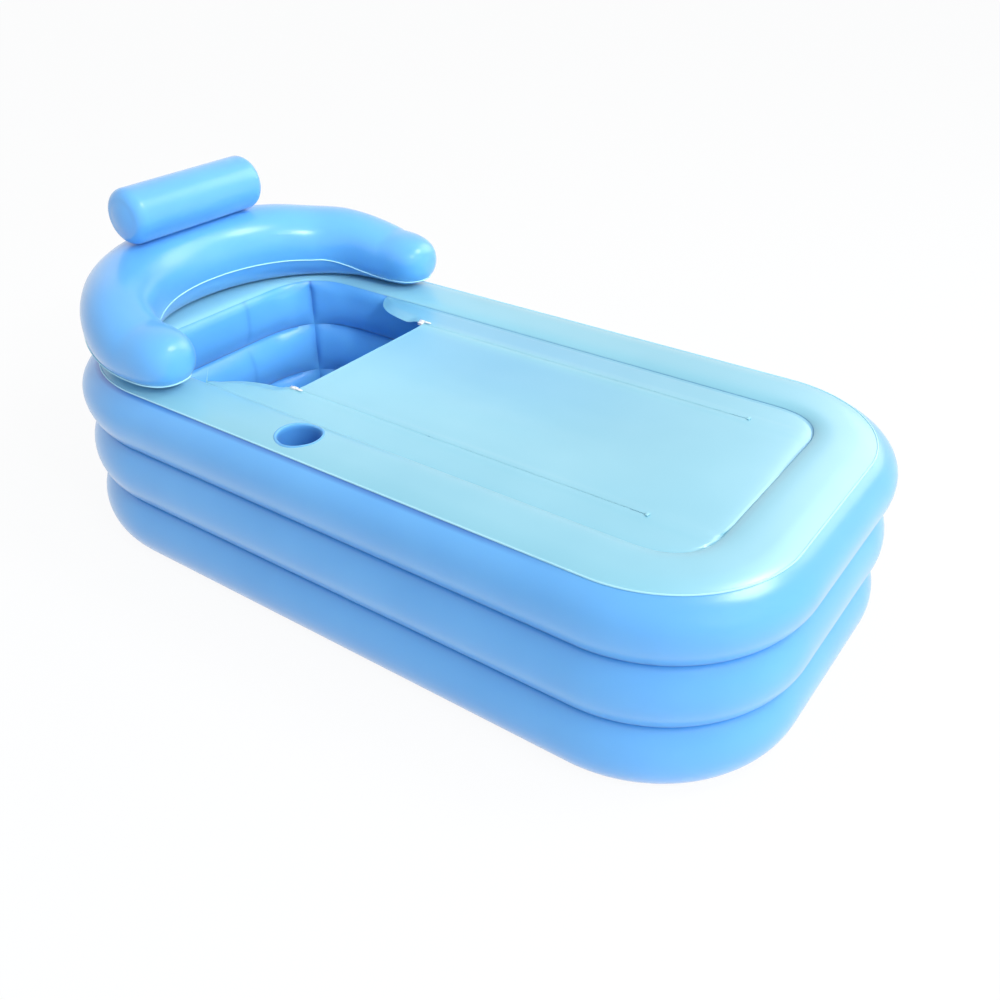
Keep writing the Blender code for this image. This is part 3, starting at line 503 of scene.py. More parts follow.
def tub_place(x, y):
    """Distance out from the ring's centre line, and the corner angle: 0 at an end, 90 at a long side."""
    centre, turn, draw_share = corner_of(x)
    dx = abs(x - RING_CENTRE_X) - abs(centre.x - RING_CENTRE_X)
    dy = abs(y) - centre.y
    if dx <= 0 or dy <= 0:
        return max(dx, dy) - turn, (0.0 if dx > dy else 90.0)
    angle = math.atan2(dy, dx)
    out = math.hypot(dx, dy) - turn
    if out < 0:
        out /= inner_share(draw_share, angle)
    return out, math.degrees(angle)


def tighten(vert):
    """Moves a point of a round corner's inner side out to where the tighter corner has it."""
    centre, turn, draw_share = corner_of(vert.co.x)
    middle = Vector((centre.x, math.copysign(centre.y, vert.co.y), 0))
    arm = Vector((vert.co.x - middle.x, vert.co.y - middle.y, 0))
    out = arm.length - turn
    if out >= 0 or abs(vert.co.y) <= centre.y or arm.x * (centre.x - RING_CENTRE_X) <= 0:
        return
    share = inner_share(draw_share, math.atan2(abs(arm.y), abs(arm.x)))
    spot = middle + arm.normalized() * (turn + out * share)
    vert.co.x = spot.x
    vert.co.y = spot.y


def dome_point(degrees, exponent, side=1):
    """Point on the top ring's dome, from its side at 0 to its top at 90 degrees."""
    angle = math.radians(degrees)
    return (side * RING_WIDTH / 2 * power(math.cos(angle), 2 / exponent),
            RING_HEIGHT / 2 * power(math.sin(angle), 2 / exponent))


def side_point(share):
    """Point on a ring's bulging side, from its lower neck at -1 to its upper neck at 1."""
    half = RING_HEIGHT / 2
    radius = (half ** 2 + RING_BULGE ** 2) / (2 * RING_BULGE)
    spread = math.asin(half / radius)
    angle = spread * share
    out = RING_WIDTH / 2 - RING_BULGE + radius * (math.cos(angle) - math.cos(spread))
    return (out, radius * math.sin(angle))


def both_sides(outer, inner):
    return outer + [(-out, up) for out, up in reversed(inner)]


def ring_section():
    side = [side_point(2 * step / SIDE_STEPS - 1) for step in range(SIDE_STEPS + 1)]
    return both_sides(side, side)


def rim_half(exponent):
    """One side of the top ring: its bulging side below, its dome above."""
    lower = [side_point(2 * step / SIDE_STEPS - 1) for step in range(SIDE_STEPS // 2)]
    return lower + [dome_point(90 * step / DOME_STEPS, exponent) for step in range(DOME_STEPS)]


def rim_section():
    return both_sides(rim_half(OUTER_DOME_EXPONENT) + [(0.0, RING_HEIGHT / 2)],
                      rim_half(INNER_DOME_EXPONENT))


def rim_level(out):
    """Height of the rim's surface over a distance out from the ring's centre line."""
    exponent = OUTER_DOME_EXPONENT if out > 0 else INNER_DOME_EXPONENT
    share = min(abs(out) / (RING_WIDTH / 2), 1)
    return TOP_CENTRE_Z + RING_HEIGHT / 2 * (1 - share ** exponent) ** (1 / exponent)


# ---- finishes

def set_sockets(tree, node, **sockets):
    """Gives a node's inputs their values or links; an underscore stands for a space in a socket's name."""
    for name, value in sockets.items():
        socket = node.inputs[name.replace("_", " ")]
        if isinstance(value, bpy.types.NodeSocket):
            tree.links.new(value, socket)
        else:
            socket.default_value = value


def add_node(tree, kind, **sockets):
    node = tree.nodes.new("ShaderNode" + kind)
    set_sockets(tree, node, **sockets)
    return node


def bare_tree(owner):
    owner.use_nodes = True
    owner.node_tree.nodes.clear()
    return owner.node_tree


def add_noise(tree, scale, detail):
    where = add_node(tree, "TexCoord").outputs["Object"]
    return add_node(tree, "TexNoise", Scale=scale, Detail=detail, Vector=where).outputs["Fac"]


def add_ramp(tree, source, stops):
    ramp = add_node(tree, "ValToRGB", Fac=source)
    band = ramp.color_ramp
    for k, (place, colour) in enumerate(stops):
        stop = band.elements[k] if k < 2 else band.elements.new(place)
        stop.position = place
        stop.color = (*colour, 1)
    return ramp.outputs["Color"]


def add_range(tree, source, low, high):
    return add_node(tree, "MapRange", To_Min=low, To_Max=high, Value=source).outputs["Result"]


def add_painted_shade(tree, colour, deep):
    """Mixes in painted shade, a deeper colour, by the share that the piece's attribute holds."""
    found = add_node(tree, "Attribute")
    found.attribute_name = "weld"
    mix = add_node(tree, "Mix")
    mix.data_type = "RGBA"
    set_sockets(tree, mix, Factor=found.outputs["Fac"], A=colour, B=(*deep, 1))
    return mix.outputs["Result"]


def mark_painted_shade(piece, rule):
    """Writes how much painted shade the film gets at each vertex, from 0 to 1."""
    layer = piece.data.attributes.new("weld", "FLOAT", "POINT")
    layer.data.foreach_set("value", [min(max(rule(vert.co), 0), 1) for vert in piece.data.vertices])


def add_bumps(tree, shader, layers):
    """Chains bump layers of (source, distance, strength)."""
    last = {}
    for source, distance, strength in layers:
        bump = add_node(tree, "Bump", Height=source, Distance=distance, Strength=strength, **last)
        last = {"Normal": bump.outputs["Normal"]}
    set_sockets(tree, shader, **last)


def film_finish(name, dark, middle, light, low_rough, high_rough, deep=None, **sockets):
    """Soft vinyl film: faint cloudiness in the colour, a fine calendered grain and slow waves."""
    made = bpy.data.materials.new(name)
    made.use_nodes = True
    made.diffuse_color = (*middle, 1)
    tree = made.node_tree
    shader = tree.nodes["Principled BSDF"]
    cloud = add_noise(tree, scale=5.0, detail=2.0)
    colour = add_ramp(tree, cloud, ((0.30, dark), (0.50, middle), (0.70, light)))
    # Painted shade: a deeper colour mixed in by each piece's attribute
    if deep:
        colour = add_painted_shade(tree, colour, deep)
    patches = add_noise(tree, scale=14.0, detail=3.0)
    roughness = add_range(tree, patches, low_rough, high_rough)
    set_sockets(tree, shader, Base_Color=colour, Roughness=roughness, **sockets)
    waves = add_noise(tree, scale=9.0, detail=1.0)
    grain = add_noise(tree, scale=1400.0, detail=1.0)
    add_bumps(tree, shader, ((waves, WAVE_HEIGHT, WAVE_STRENGTH), (grain, GRAIN_HEIGHT, GRAIN_STRENGTH)))
    return made


# deep is the colour of each film's painted shade
BLUE_FILM = film_finish("blue_vinyl", (0.106, 0.395, 0.800), (0.115, 0.412, 0.820), (0.124, 0.430, 0.838),
                        0.20, 0.28, deep=(0.030, 0.160, 0.540), Specular_IOR_Level=0.5,
                        Coat_Weight=0.55, Coat_Roughness=0.32, Sheen_Weight=0.10, Sheen_Roughness=0.40,
                        Subsurface_Weight=0.30, Subsurface_Radius=(1.0, 1.0, 1.0), Subsurface_Scale=0.008)
CYAN_FILM = film_finish("cyan_vinyl", (0.236, 0.540, 0.662), (0.250, 0.556, 0.676), (0.264, 0.572, 0.690),
                        0.26, 0.34, deep=(0.100, 0.370, 0.650), Specular_IOR_Level=0.5,
                        Coat_Weight=0.45, Coat_Roughness=0.32)
CLEAR_BEAD = film_finish("weld_bead", (0.380, 0.720, 0.840), (0.410, 0.750, 0.860), (0.440, 0.780, 0.880),
                         0.22, 0.30)
VALVE_VINYL = film_finish("valve_vinyl", (0.600, 0.780, 0.900), (0.660, 0.820, 0.920), (0.700, 0.850, 0.930),
                          0.24, 0.34)
ZIP_PLASTIC = film_finish("zip_plastic", (0.820, 0.800, 0.810), (0.860, 0.840, 0.850), (0.880, 0.870, 0.875),
                          0.28, 0.38)
ZIP_WEAVE = film_finish("zip_weave", (0.320, 0.650, 0.770), (0.345, 0.670, 0.785), (0.370, 0.690, 0.800),
                        0.50, 0.62)


# ---- air rings and rim

def crease_walls(bm, top_z):
    """Weld creases in the film: deep ones at the inner head corners, a fine one on the head wall."""
    for vert in bm.verts:
        x, y, z = vert.co
        out, angle = tub_place(x, y)
        inward = smooth_step(-out, *INNER_WALL_RUN) * smooth_step(top_z - z, 0.0, CREASE_RUN_OUT)
        if inward == 0 or x > HEAD_CENTRE.x:
            continue
        if abs(y) > HEAD_CENTRE.y:
            deep = crease(angle, CORNER_CREASE_DEGREES, CORNER_CREASE_SPREAD)
            for middle in CORNER_SWELL_DEGREES:
                deep -= CORNER_SWELL_SHARE * hill(angle, middle, CORNER_SWELL_SPREAD)
            plan = Vector((x - HEAD_CENTRE.x, y - math.copysign(HEAD_CENTRE.y, y), 0)).normalized()
            vert.co += plan * CORNER_CREASE_DEPTH * deep * inward
        vert.co.x -= HEAD_CREASE_DEPTH * crease(y, HEAD_CREASE_Y, HEAD_CREASE_SPREAD) * inward


def build_rings():
    for name in ("bottom_ring", "middle_ring", "top_ring"):
        top = name == "top_ring"
        centre_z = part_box(name)[1].z - RING_HEIGHT / 2
        bm = sweep_round_tub(rim_section() if top else ring_section(), centre_z)
        crease_walls(bm, TOP_CENTRE_Z + dome_point(INNER_SEAM_DEGREES, INNER_DOME_EXPONENT)[1])
        ring = add_piece("wall_" + name, bm, BLUE_FILM, name)
        if top:
            cut_cup_hole(ring)
        sharpen(ring, SHARP_FILM_DEGREES)

        def ring_painted_shade(spot, centre_z=centre_z, top=top):
            """Painted shade on the ring: at its necks, in the creases and in a line under the rim's seam."""
            tone = NECK_PAINTED_SHADE * crease(spot.z, centre_z - RING_HEIGHT / 2, NECK_TONE_REACH)
            if not top:
                tone = max(tone, NECK_PAINTED_SHADE * crease(spot.z, centre_z + RING_HEIGHT / 2, NECK_TONE_REACH))
            out, angle = tub_place(spot.x, spot.y)
            inward = smooth_step(-out, *INNER_WALL_RUN)
            if spot.x < HEAD_CENTRE.x and abs(spot.y) > HEAD_CENTRE.y:
                tone = max(tone, inward * crease(angle, CORNER_CREASE_DEGREES, CREASE_TONE_DEGREES))
            elif spot.x < HEAD_CENTRE.x:
                tone = max(tone, inward * HEAD_CREASE_PAINTED_SHADE * crease(spot.y, HEAD_CREASE_Y, HEAD_CREASE_TONE_REACH))
            if top and spot.z > centre_z:
                shown = smooth_step(-spot.x, *UNDER_SEAM_RUN)
                tone = max(tone, shown * crease(out, UNDER_SEAM_OUT, SEAM_TONE_REACH))
            return tone

        mark_painted_shade(ring, ring_painted_shade)


def film_strip(lift):
    """The rim film's run over the dome, from the outer seam to the inner seam."""
    points = []
    for step in range(STRIP_OUTER_STEPS + 1):
        degrees = OUTER_SEAM_DEGREES + (90 - OUTER_SEAM_DEGREES) * step / STRIP_OUTER_STEPS
        points.append(dome_point(degrees, OUTER_DOME_EXPONENT))
    for step in range(1, STRIP_INNER_STEPS + 1):
        degrees = 90 - (90 - INNER_SEAM_DEGREES) * step / STRIP_INNER_STEPS
        points.append(dome_point(degrees, INNER_DOME_EXPONENT, -1))
    raised = []
    for k, point in enumerate(points):
        before = Vector(points[max(k - 1, 0)])
        after = Vector(points[min(k + 1, len(points) - 1)])
        along = (after - before).normalized()
        raised.append((point[0] + along.y * lift, point[1] - along.x * lift))
    return raised


def far_share(y):
    """The inner seam shows on the far side and fades out over the foot end."""
    return smooth_step(y, *FAR_SEAM_RUN)


def film_painted_shade(spot):
    """Painted shade on the cyan film: a line at its inner seam on the far side, and where it hangs free toward the far
    side and the head, but not on the zip's tape.
    """
    out = tub_place(spot.x, spot.y)[0]
    seam = far_share(spot.y) * crease(out, VALLEY_OUT, SEAM_TONE_REACH)
    free = smooth_step(VALLEY_OUT - out, *FREE_FILM_EDGE) * smooth_step(spot.y, *FREE_FILM_ACROSS)
    free *= smooth_step(-spot.x, *FREE_FILM_ALONG)
    free *= 1 - hill(abs(spot.y) - ZIP_Y, TAPE_TONE_PLACE, TAPE_TONE_REACH)
    return max(seam, FREE_FILM_PAINTED_SHADE * free)


def build_rim():
    strip = film_strip(RIM_FILM_TOP) + film_strip(RIM_FILM_UNDER)[::-1]
    film = add_piece("rim_film", sweep_round_tub(strip, TOP_CENTRE_Z), CYAN_FILM, "rim_skin")
    cut_cup_hole(film)
    sharpen(film, SHARP_FILM_DEGREES)
    mark_painted_shade(film, film_painted_shade)
    out, up = dome_point(OUTER_SEAM_DEGREES, OUTER_DOME_EXPONENT)
    ring = [(out + RIM_WELD_OUT + RIM_WELD_RADIUS * math.cos(a), up + RIM_WELD_UP + RIM_WELD_RADIUS * math.sin(a))
            for a in (2 * math.pi * k / BEAD_SIDES for k in range(BEAD_SIDES))]
    add_piece("rim_weld", sweep_round_tub(ring, TOP_CENTRE_Z), CLEAR_BEAD, "rim_seam_bead")


# ---- cover

def over_tape(y):
    """How far the film rises to lie on the zip's tape."""
    return TAPE_LIFT * (1 - smooth_step(abs(abs(y) - ZIP_Y), ZIP_TAPE_WIDTH, ZIP_TAPE_WIDTH + TAPE_LIFT_RUN))


def sag(x, y):
    """How far the flap hangs below its edges, with a few soft draw lines."""
    foot_x = HINGE_X + ZIP_FOOT_LENGTH
    if not (HEAD_EDGE_X < x < foot_x and abs(y) < FLAP_EDGE_Y):
        return 0.0
    along = smooth_step(x - HEAD_EDGE_X, *SAG_HEAD_RUN) * smooth_step(foot_x - x, 0.0, SAG_FOOT_RUN)
    across = max(math.cos(math.pi * y / (2 * FLAP_EDGE_Y)), 0) ** SAG_FULLNESS
    lines = wander(x, y * FLAP_LINE_NARROWING, FLAP_LINE_LENGTH, FLAP_LINE_SEED) * FLAP_LINES
    return (FLAP_SAG + lines) * along * across


def film_panel(name, x0, x1, node):
    """A length of the flap's film, whose head edge has a narrow welded hem."""
    def place(u, v):
        x = x0 + (x1 - x0) * u ** (HEM_CROWDING if x0 == HEAD_EDGE_X else 1.0)
        y = (ZIP_Y - ZIP_SHOW) * (2 * v - 1)
        hem = HEM_RISE * hill(x, HEAD_EDGE_X + HEM_WIDTH / 2, HEM_WIDTH / 3)
        return Vector((x, y, COVER_Z - SKIN_FILM / 2 - sag(x, y) + over_tape(y) + hem))

    bm = mapped_sheet(round((x1 - x0) / PANEL_STEP), PANEL_ROWS, place)
    thicken(bm, SKIN_FILM)
    piece = add_piece(name, bm, CYAN_FILM, node, None)
    sharpen(piece, SHARP_FILM_DEGREES)
    mark_painted_shade(piece, film_painted_shade)
    return piece


def thicken(bm, thickness):
    """Gives a sheet a thickness upwards from where it lies, with its faces outwards."""
    bmesh.ops.recalc_face_normals(bm, faces=bm.faces)
    faces = list(bm.faces)
    up = sum(f.normal.z for f in faces)
    if up > 0:
        bmesh.ops.reverse_faces(bm, faces=faces)
    bmesh.ops.solidify(bm, geom=faces, thickness=thickness)
    bmesh.ops.recalc_face_normals(bm, faces=bm.faces)


def seam_point(angle):
    """Plan point of the cover's seam round a foot corner, from the end at 0 to the long side at 90 degrees."""
    reach = FOOT_TURN + SEAM_OUT * inner_share(FOOT_CORNER_DRAW_SHARE, angle)
    return FOOT_CENTRE.x + reach * math.cos(angle), FOOT_CENTRE.y + reach * math.sin(angle)


def seam_reach(x):
    """Half width of the cover at a station along the tub."""
    if x <= FOOT_CENTRE.x:
        return SEAM_Y
    low, high = 0.0, math.pi / 2
    for _ in range(30):
        middle = (low + high) / 2
        if seam_point(middle)[0] > x:
            low = middle
        else:
            high = middle
    return seam_point(high)[1]


def wing_edge(x):
    """The cover's inner edge beside the head opening and along the zip."""
    end_x = HEAD_EDGE_X - ZIP_HEAD_LENGTH
    tape_y = ZIP_Y + ZIP_SHOW
    if x >= end_x:
        return tape_y
    share = min((end_x - x) / (end_x - WING_TIP_X), 1)
    return SEAM_Y - (SEAM_Y - tape_y) * math.sqrt(1 - share ** 2)


def build_cover():
    foot_x = HINGE_X + ZIP_FOOT_LENGTH
    end_x = HEAD_EDGE_X - ZIP_HEAD_LENGTH
    seam_x = RING_CENTRE_X + RING_HALF_X + SEAM_OUT
    slot_y = ZIP_Y - ZIP_CENTRE_GAP / 2
    tape_y = wing_edge(end_x)
    level = COVER_Z - SKIN_FILM / 2

    def settle(x, y):
        out = tub_place(x, y)[0]
        shown = NEAR_VALLEY_SHARE + (1 - NEAR_VALLEY_SHARE) * far_share(y)
        dip = VALLEY_DEPTH * shown * crease(out, VALLEY_OUT, VALLEY_REACH)
        if out > VALLEY_OUT:
            return Vector((x, y, min(rim_level(out) + SKIN_FILM, level)))
        droop = 0.0
        if x < end_x:
            free = 1 - smooth_step(abs(y) - wing_edge(x), 0.0, WING_DROOP_REACH)
            held = smooth_step(-out, -VALLEY_OUT, -VALLEY_OUT + WING_DROOP_REACH)
            droop = WING_DROOP * free * held * smooth_step(end_x - x, 0.0, WING_DROOP_REACH)
        return Vector((x, y, level - dip - droop + over_tape(y)))

    sheets = []
    for side in (1, -1):
        def wing(u, v, side=side):
            angle = math.pi / 2 * u
            x = end_x - (end_x - WING_TIP_X) * math.cos(angle)
            inner = wing_edge(x)
            return settle(x, side * (inner + (SEAM_Y - inner) * v))

        def band(u, v, side=side):
            x = end_x + (foot_x - end_x) * u
            return settle(x, side * (tape_y + (seam_reach(x) - tape_y) * v))

        def foot(low, high):
            def place(u, v, side=side):
                x = foot_x + (seam_x - foot_x) * math.sin(math.pi / 2 * u)
                reach = seam_reach(x) / SEAM_Y
                return settle(x, side * (low + (high - low) * v) * reach)
            return place

        def root(u, v, side=side):
            x = HINGE_X + COVER_SLIT + (foot_x - HINGE_X - COVER_SLIT) * u
            return settle(x, side * (ZIP_Y - ZIP_SHOW + GAP + (slot_y - ZIP_Y + ZIP_SHOW - GAP) * v))

        sheets += [(WING_STEPS, BAND_ROWS, wing), (BAND_STEPS, BAND_ROWS, band),
                   (FOOT_STEPS, BAND_ROWS, foot(tape_y, SEAM_Y)), (FOOT_STEPS, SLOT_ROWS, foot(slot_y, tape_y)),
                   (FOOT_STEPS, MIDDLE_ROWS, foot(0, slot_y)), (ROOT_STEPS, SLOT_ROWS, root)]
    bm = joined_sheets(sheets, MERGE)
    thicken(bm, SKIN_FILM)
    surround = add_piece("cover_surround_film", bm, CYAN_FILM, "cover_surround")
    sharpen(surround, SHARP_FILM_DEGREES)
    flat = (2 * SEAM_Y, seam_x - WING_TIP_X)
    area = flat[0] * (seam_x - end_x) - 2 * tape_y * (foot_x - end_x) + 2 * slot_y * ZIP_FOOT_LENGTH
    area += (SEAM_Y - tape_y) * (end_x - WING_TIP_X) * math.pi / 2
    mark_painted_shade(surround, film_painted_shade)
    front = film_panel("cover_front_film", HEAD_EDGE_X, FOLD_X + FOLD_TAIL, "cover_flap_front")
    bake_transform(front)
    rear = film_panel("cover_rear_film", FOLD_X + FOLD_TAIL, foot_x, "cover_flap_rear")
    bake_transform(rear)


# ---- backrest and headrest

def beside_valve(s):
    """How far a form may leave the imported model's: not at all where the air valve sits."""
    return 1 - hill(s, BACK_VALVE_S, BACK_VALVE_REACH)


def crescent_line(s):
    """Point on the backrest's centre line for s from -1 at the near tip to 1 at the far tip."""
    angle = math.pi / 2 * min(max(s / BODY_SHARE, -1), 1)
    x = LOBE_END_X - (LOBE_END_X - CRESCENT_X) * power(math.cos(angle), 2 / CRESCENT_PLAN_EXPONENT)
    y = LOBE_Y * power(math.sin(angle), 2 / CRESCENT_PLAN_EXPONENT)
    pull_back, pull_in = NEAR_LOBE_PULL if s < 0 else FAR_LOBE_PULL
    x -= pull_back * smooth_step(abs(s), LOBE_PULL_START, BODY_SHARE) * beside_valve(s)
    y -= math.copysign(pull_in, y) * smooth_step(abs(s), 0.0, BODY_SHARE) * beside_valve(s)
    return Vector((x, y, 0)), abs(math.cos(angle)) ** CRESCENT_SWELL_EXPONENT


def crescent_station(s):
    point, fullness = crescent_line(s)
    if abs(s) < BODY_SHARE * TIP_TURN_SHARE:
        along = (crescent_line(s + LINE_STEP)[0] - crescent_line(s - LINE_STEP)[0]).normalized()
    else:
        along = Vector((math.copysign(1, s), 0, 0))
    tip = 1.0
    if abs(s) > BODY_SHARE:
        angle = math.pi / 2 * min((abs(s) - BODY_SHARE) / (1 - BODY_SHARE), 1)
        point = point + Vector((LOBE_TIP_LENGTH * power(math.sin(angle), 2 / LOBE_TIP_EXPONENT), 0, 0))
        tip = power(max(math.cos(angle), 0), 2 / LOBE_TIP_EXPONENT)
    return point, Vector((-along.y, along.x, 0)), fullness, tip


def crescent_surface(s, angle, spread=0.0):
    """Point on the backrest's skin at a station and an angle round its section."""
    point, outward, fullness, tip = crescent_station(s)
    half_width = (LOBE_WIDTH + (BACKREST_WIDTH - LOBE_WIDTH) * fullness) / 2 * tip + spread
    half_height = (LOBE_HEIGHT + (BACKREST_HEIGHT - LOBE_HEIGHT) * fullness) / 2
    bend = hill(fullness, BEND_FULLNESS, BEND_SPREAD) * beside_valve(s)
    half_height += CROWN_LIFT / 2 * bend
    half_width -= BEND_SLIM / 2 * bend * tip
    out = half_width * power(math.cos(angle), 2 / CRESCENT_SECTION_EXPONENT)
    up = (half_height * tip + spread) * power(math.sin(angle), 2 / CRESCENT_SECTION_EXPONENT)
    spot = point + outward * out
    spot.z = BACK_LOW.z + half_height + up
    return spot


def build_backrest():
    bm = mapped_sheet(CRESCENT_ROUND_STEPS, CRESCENT_LONG_STEPS,
                      lambda u, v: crescent_surface(2 * v - 1, 2 * math.pi * u))
    for vert in bm.verts:
        out = tub_place(vert.co.x, vert.co.y)[0]
        if abs(out) < RING_WIDTH / 2:
            vert.co.z = max(vert.co.z, rim_level(out) + SKIN_FILM + 2 * GAP + BACKREST_SEAT_CLEARANCE)
    backrest = add_piece("backrest_crescent", bm, BLUE_FILM, "backrest")

    def depth_share(s):
        """How far below the section's middle the piping runs, as a share of the section's half height."""
        below = PIPING_BELOW_DEGREES + PIPING_DROP_DEGREES * smooth_step(abs(s), *PIPING_DROP_RUN)
        return power(math.sin(math.radians(below)), 2 / CRESCENT_SECTION_EXPONENT)

    last_tip = math.acos(depth_share(1) ** (LOBE_TIP_EXPONENT / 2)) / (math.pi / 2)
    last = BODY_SHARE + (1 - BODY_SHARE) * last_tip

    def loop_point(share):
        """Runs along the crescent's outer side and back along its inner side, level round each tip."""
        half = 2 * (share % 1.0)
        inner = half > 1
        s = last * math.sin(math.pi / 2 * (2 * half - 1 if not inner else 3 - 2 * half))
        tip = crescent_station(s)[3]
        depth = depth_share(s)
        below = math.asin(min((depth / max(tip, depth)) ** (CRESCENT_SECTION_EXPONENT / 2), 1))
        return crescent_surface(s, math.pi + below if inner else -below, PIPING_SPREAD)

    def piping(u, v):
        here = loop_point(v)
        along = (loop_point(v + 1 / PIPING_STEPS) - loop_point(v - 1 / PIPING_STEPS)).normalized()
        side = along.cross(Vector((0, 0, 1))).normalized()
        upright = side.cross(along)
        angle = 2 * math.pi * u
        return here + (side * math.cos(angle) + upright * math.sin(angle)) * PIPING_RADIUS

    bm = mapped_sheet(BEAD_SIDES, PIPING_STEPS, piping)
    add_piece("backrest_weld", bm, CLEAR_BEAD, "backrest_piping")


def build_headrest():
    low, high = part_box("headrest_pillow")
    middle = (low + high) / 2
    radius = (high.z - low.z) / 2
    half = (high.y - low.y) / 2
    profile = [(0.0, half)]
    for step in range(1, ROLL_END_STEPS):
        share = step / ROLL_END_STEPS
        profile.append(((radius - PILLOW_EDGE_RADIUS) * share, half - PILLOW_END_BULGE * share ** 2))
    for step in range(ROLL_EDGE_STEPS + 1):
        angle = math.pi / 2 * (1 - step / ROLL_EDGE_STEPS)
        profile.append((radius - PILLOW_EDGE_RADIUS * (1 - math.cos(angle)),
                        half - PILLOW_END_BULGE - PILLOW_EDGE_RADIUS * (1 - math.sin(angle))))
    run = half - PILLOW_END_BULGE - PILLOW_EDGE_RADIUS
    for step in range(1, ROLL_SIDE_STEPS):
        profile.append((radius, run * (1 - step / ROLL_SIDE_STEPS)))
    profile.append((radius, 0.0))
    profile += [(r, -z) for r, z in reversed(profile[:-1])]
    turn = Matrix.Rotation(-math.pi / 2, 4, "X")
    bm = spun(profile, SPUN_STEPS, Matrix.Translation(middle) @ turn)
    pillow = add_piece("headrest_roll", bm, BLUE_FILM, "headrest_pillow")


# ---- inside the tub

def build_floor_cushion():
    """Air mattress on the floor: a rounded slab whose top is drawn in along the welds between its channels."""
    low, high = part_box("floor_cushion")
    half_x, half_y, half_height = (high - low) / 2
    middle = (low + high) / 2
    corner = CUSHION_CORNER_RADIUS

    def crowded(share, exponent):
        """Turns 0 to 1 into -1 to 1, with its steps closer together toward both ends."""
        from_middle = 2 * share - 1
        return math.copysign(1 - (1 - abs(from_middle)) ** exponent, from_middle)

    def side_place(sign):
        def place(u, v):
            x = half_x * crowded(u, CUSHION_CROWDING[0])
            across = crowded(v, CUSHION_CROWDING[1])
            from_end = half_x - abs(x)
            inset = 0.0
            if from_end < corner:
                inset = corner - math.sqrt(max(corner ** 2 - (corner - from_end) ** 2, 0))
            y = (half_y - inset) * across
            edge = min((half_y - inset - abs(y)) / half_height, from_end / half_height, 1)
            rise = sign * half_height * math.sqrt(max(1 - (1 - edge) ** 2, 0))
            if sign > 0:
                fold = abs(math.sin(math.pi * CUSHION_CHANNELS * (across + 1) / 2)) ** CHANNEL_FULLNESS
                rise *= 1 - CHANNEL_DEPTH_SHARE * (1 - fold) * smooth_step(from_end, *CHANNEL_END_RUN)
            return Vector((middle.x + x, middle.y + y, middle.z + rise))
        return place

    bm = joined_sheets([(*CUSHION_STEPS, side_place(sign)) for sign in (1, -1)], 2 * MERGE)
    cushion = add_piece("cushion_channels", bm, BLUE_FILM, "floor_cushion")


def build_cup():
    """Liner with a rolled lip that follows the rim, and a welded disc for its bottom."""
    floor_z = CUP_LOW.z
    foot_z = floor_z + CUP_FOOT_RISE
    wall_top = RIM_TOP_Z - CUP_WALL_DROP
    profile = [(CUP_RADIUS * share, floor_z + rise) for share, rise in CUP_DISC]
    profile.append((CUP_RADIUS - CUP_FOOT_INSET, foot_z))
    for step in range(1, CUP_WALL_STEPS + 1):
        profile.append((CUP_RADIUS, foot_z + (wall_top - foot_z) * step / CUP_WALL_STEPS))
    profile += [(CUP_RADIUS + width, RIM_TOP_Z + rise) for width, rise in CUP_LIP]
    profile += [(CUP_RADIUS + CUP_BACK_WIDTH, floor_z + CUP_BACK_RISE), (CUP_RADIUS * CUP_BACK_SHARE, floor_z),
                (0.0, floor_z)]
    bm = spun(profile, SPUN_STEPS, Matrix.Translation((CUP_CENTRE.x, CUP_CENTRE.y, 0)))
    for vert in bm.verts:
        out = tub_place(vert.co.x, vert.co.y)[0]
        drop = rim_level(out) - rim_level(0)
        vert.co.z += drop * smooth_step(vert.co.z, floor_z + CUP_LEVEL_LOW, RIM_TOP_Z - CUP_LEVEL_HIGH)
    liner = add_piece("cup_liner", bm, BLUE_FILM, "cup_well")
    # Painted shade down the cup's wall and over its bottom
    mark_painted_shade(liner, lambda spot: CUP_PAINTED_SHADE * smooth_step(RIM_TOP_Z - spot.z, *CUP_TONE_RUN))


# ---- small fittings

def softened(node, name, finish, body, width):
    """A CAD node's form with merged faces and rounded edges."""
    bm = bmesh.new()
    bm.from_mesh(frame["nodes"][node].data)
    bmesh.ops.remove_doubles(bm, verts=bm.verts, dist=FINE_MERGE)
    bmesh.ops.dissolve_limit(bm, angle_limit=math.radians(1), verts=bm.verts, edges=bm.edges)
    edges = [e for e in bm.edges if e.is_manifold and e.calc_face_angle(0) > math.radians(SHARP_FITTING_DEGREES)]
    bmesh.ops.bevel(bm, geom=edges, offset=width, affect="EDGES", segments=2, profile=0.5, material=-1,
                    clamp_overlap=True)
    sharpen(add_piece(name, bm, finish, node, body), SHARP_FITTING_DEGREES)


def add_block(bm, low, high, round_by, place=None):
    """Adds a block with rounded edges between two corners."""
    low = Vector(low)
    high = Vector(high)
    size = high - low
    shape = Matrix.Translation((low + high) / 2) @ Matrix.Diagonal((*size, 1))
    verts = bmesh.ops.create_cube(bm, size=1, matrix=shape)["verts"]
    edges = {e for v in verts for e in v.link_edges}
    grown = bmesh.ops.bevel(bm, geom=list(edges), offset=round_by, affect="EDGES", segments=2, profile=0.5,
                            material=-1)
    if place is not None:
        bmesh.ops.transform(bm, matrix=place, verts=list({v for f in grown["faces"] for v in f.verts} | set(
            v for v in verts if v.is_valid)))


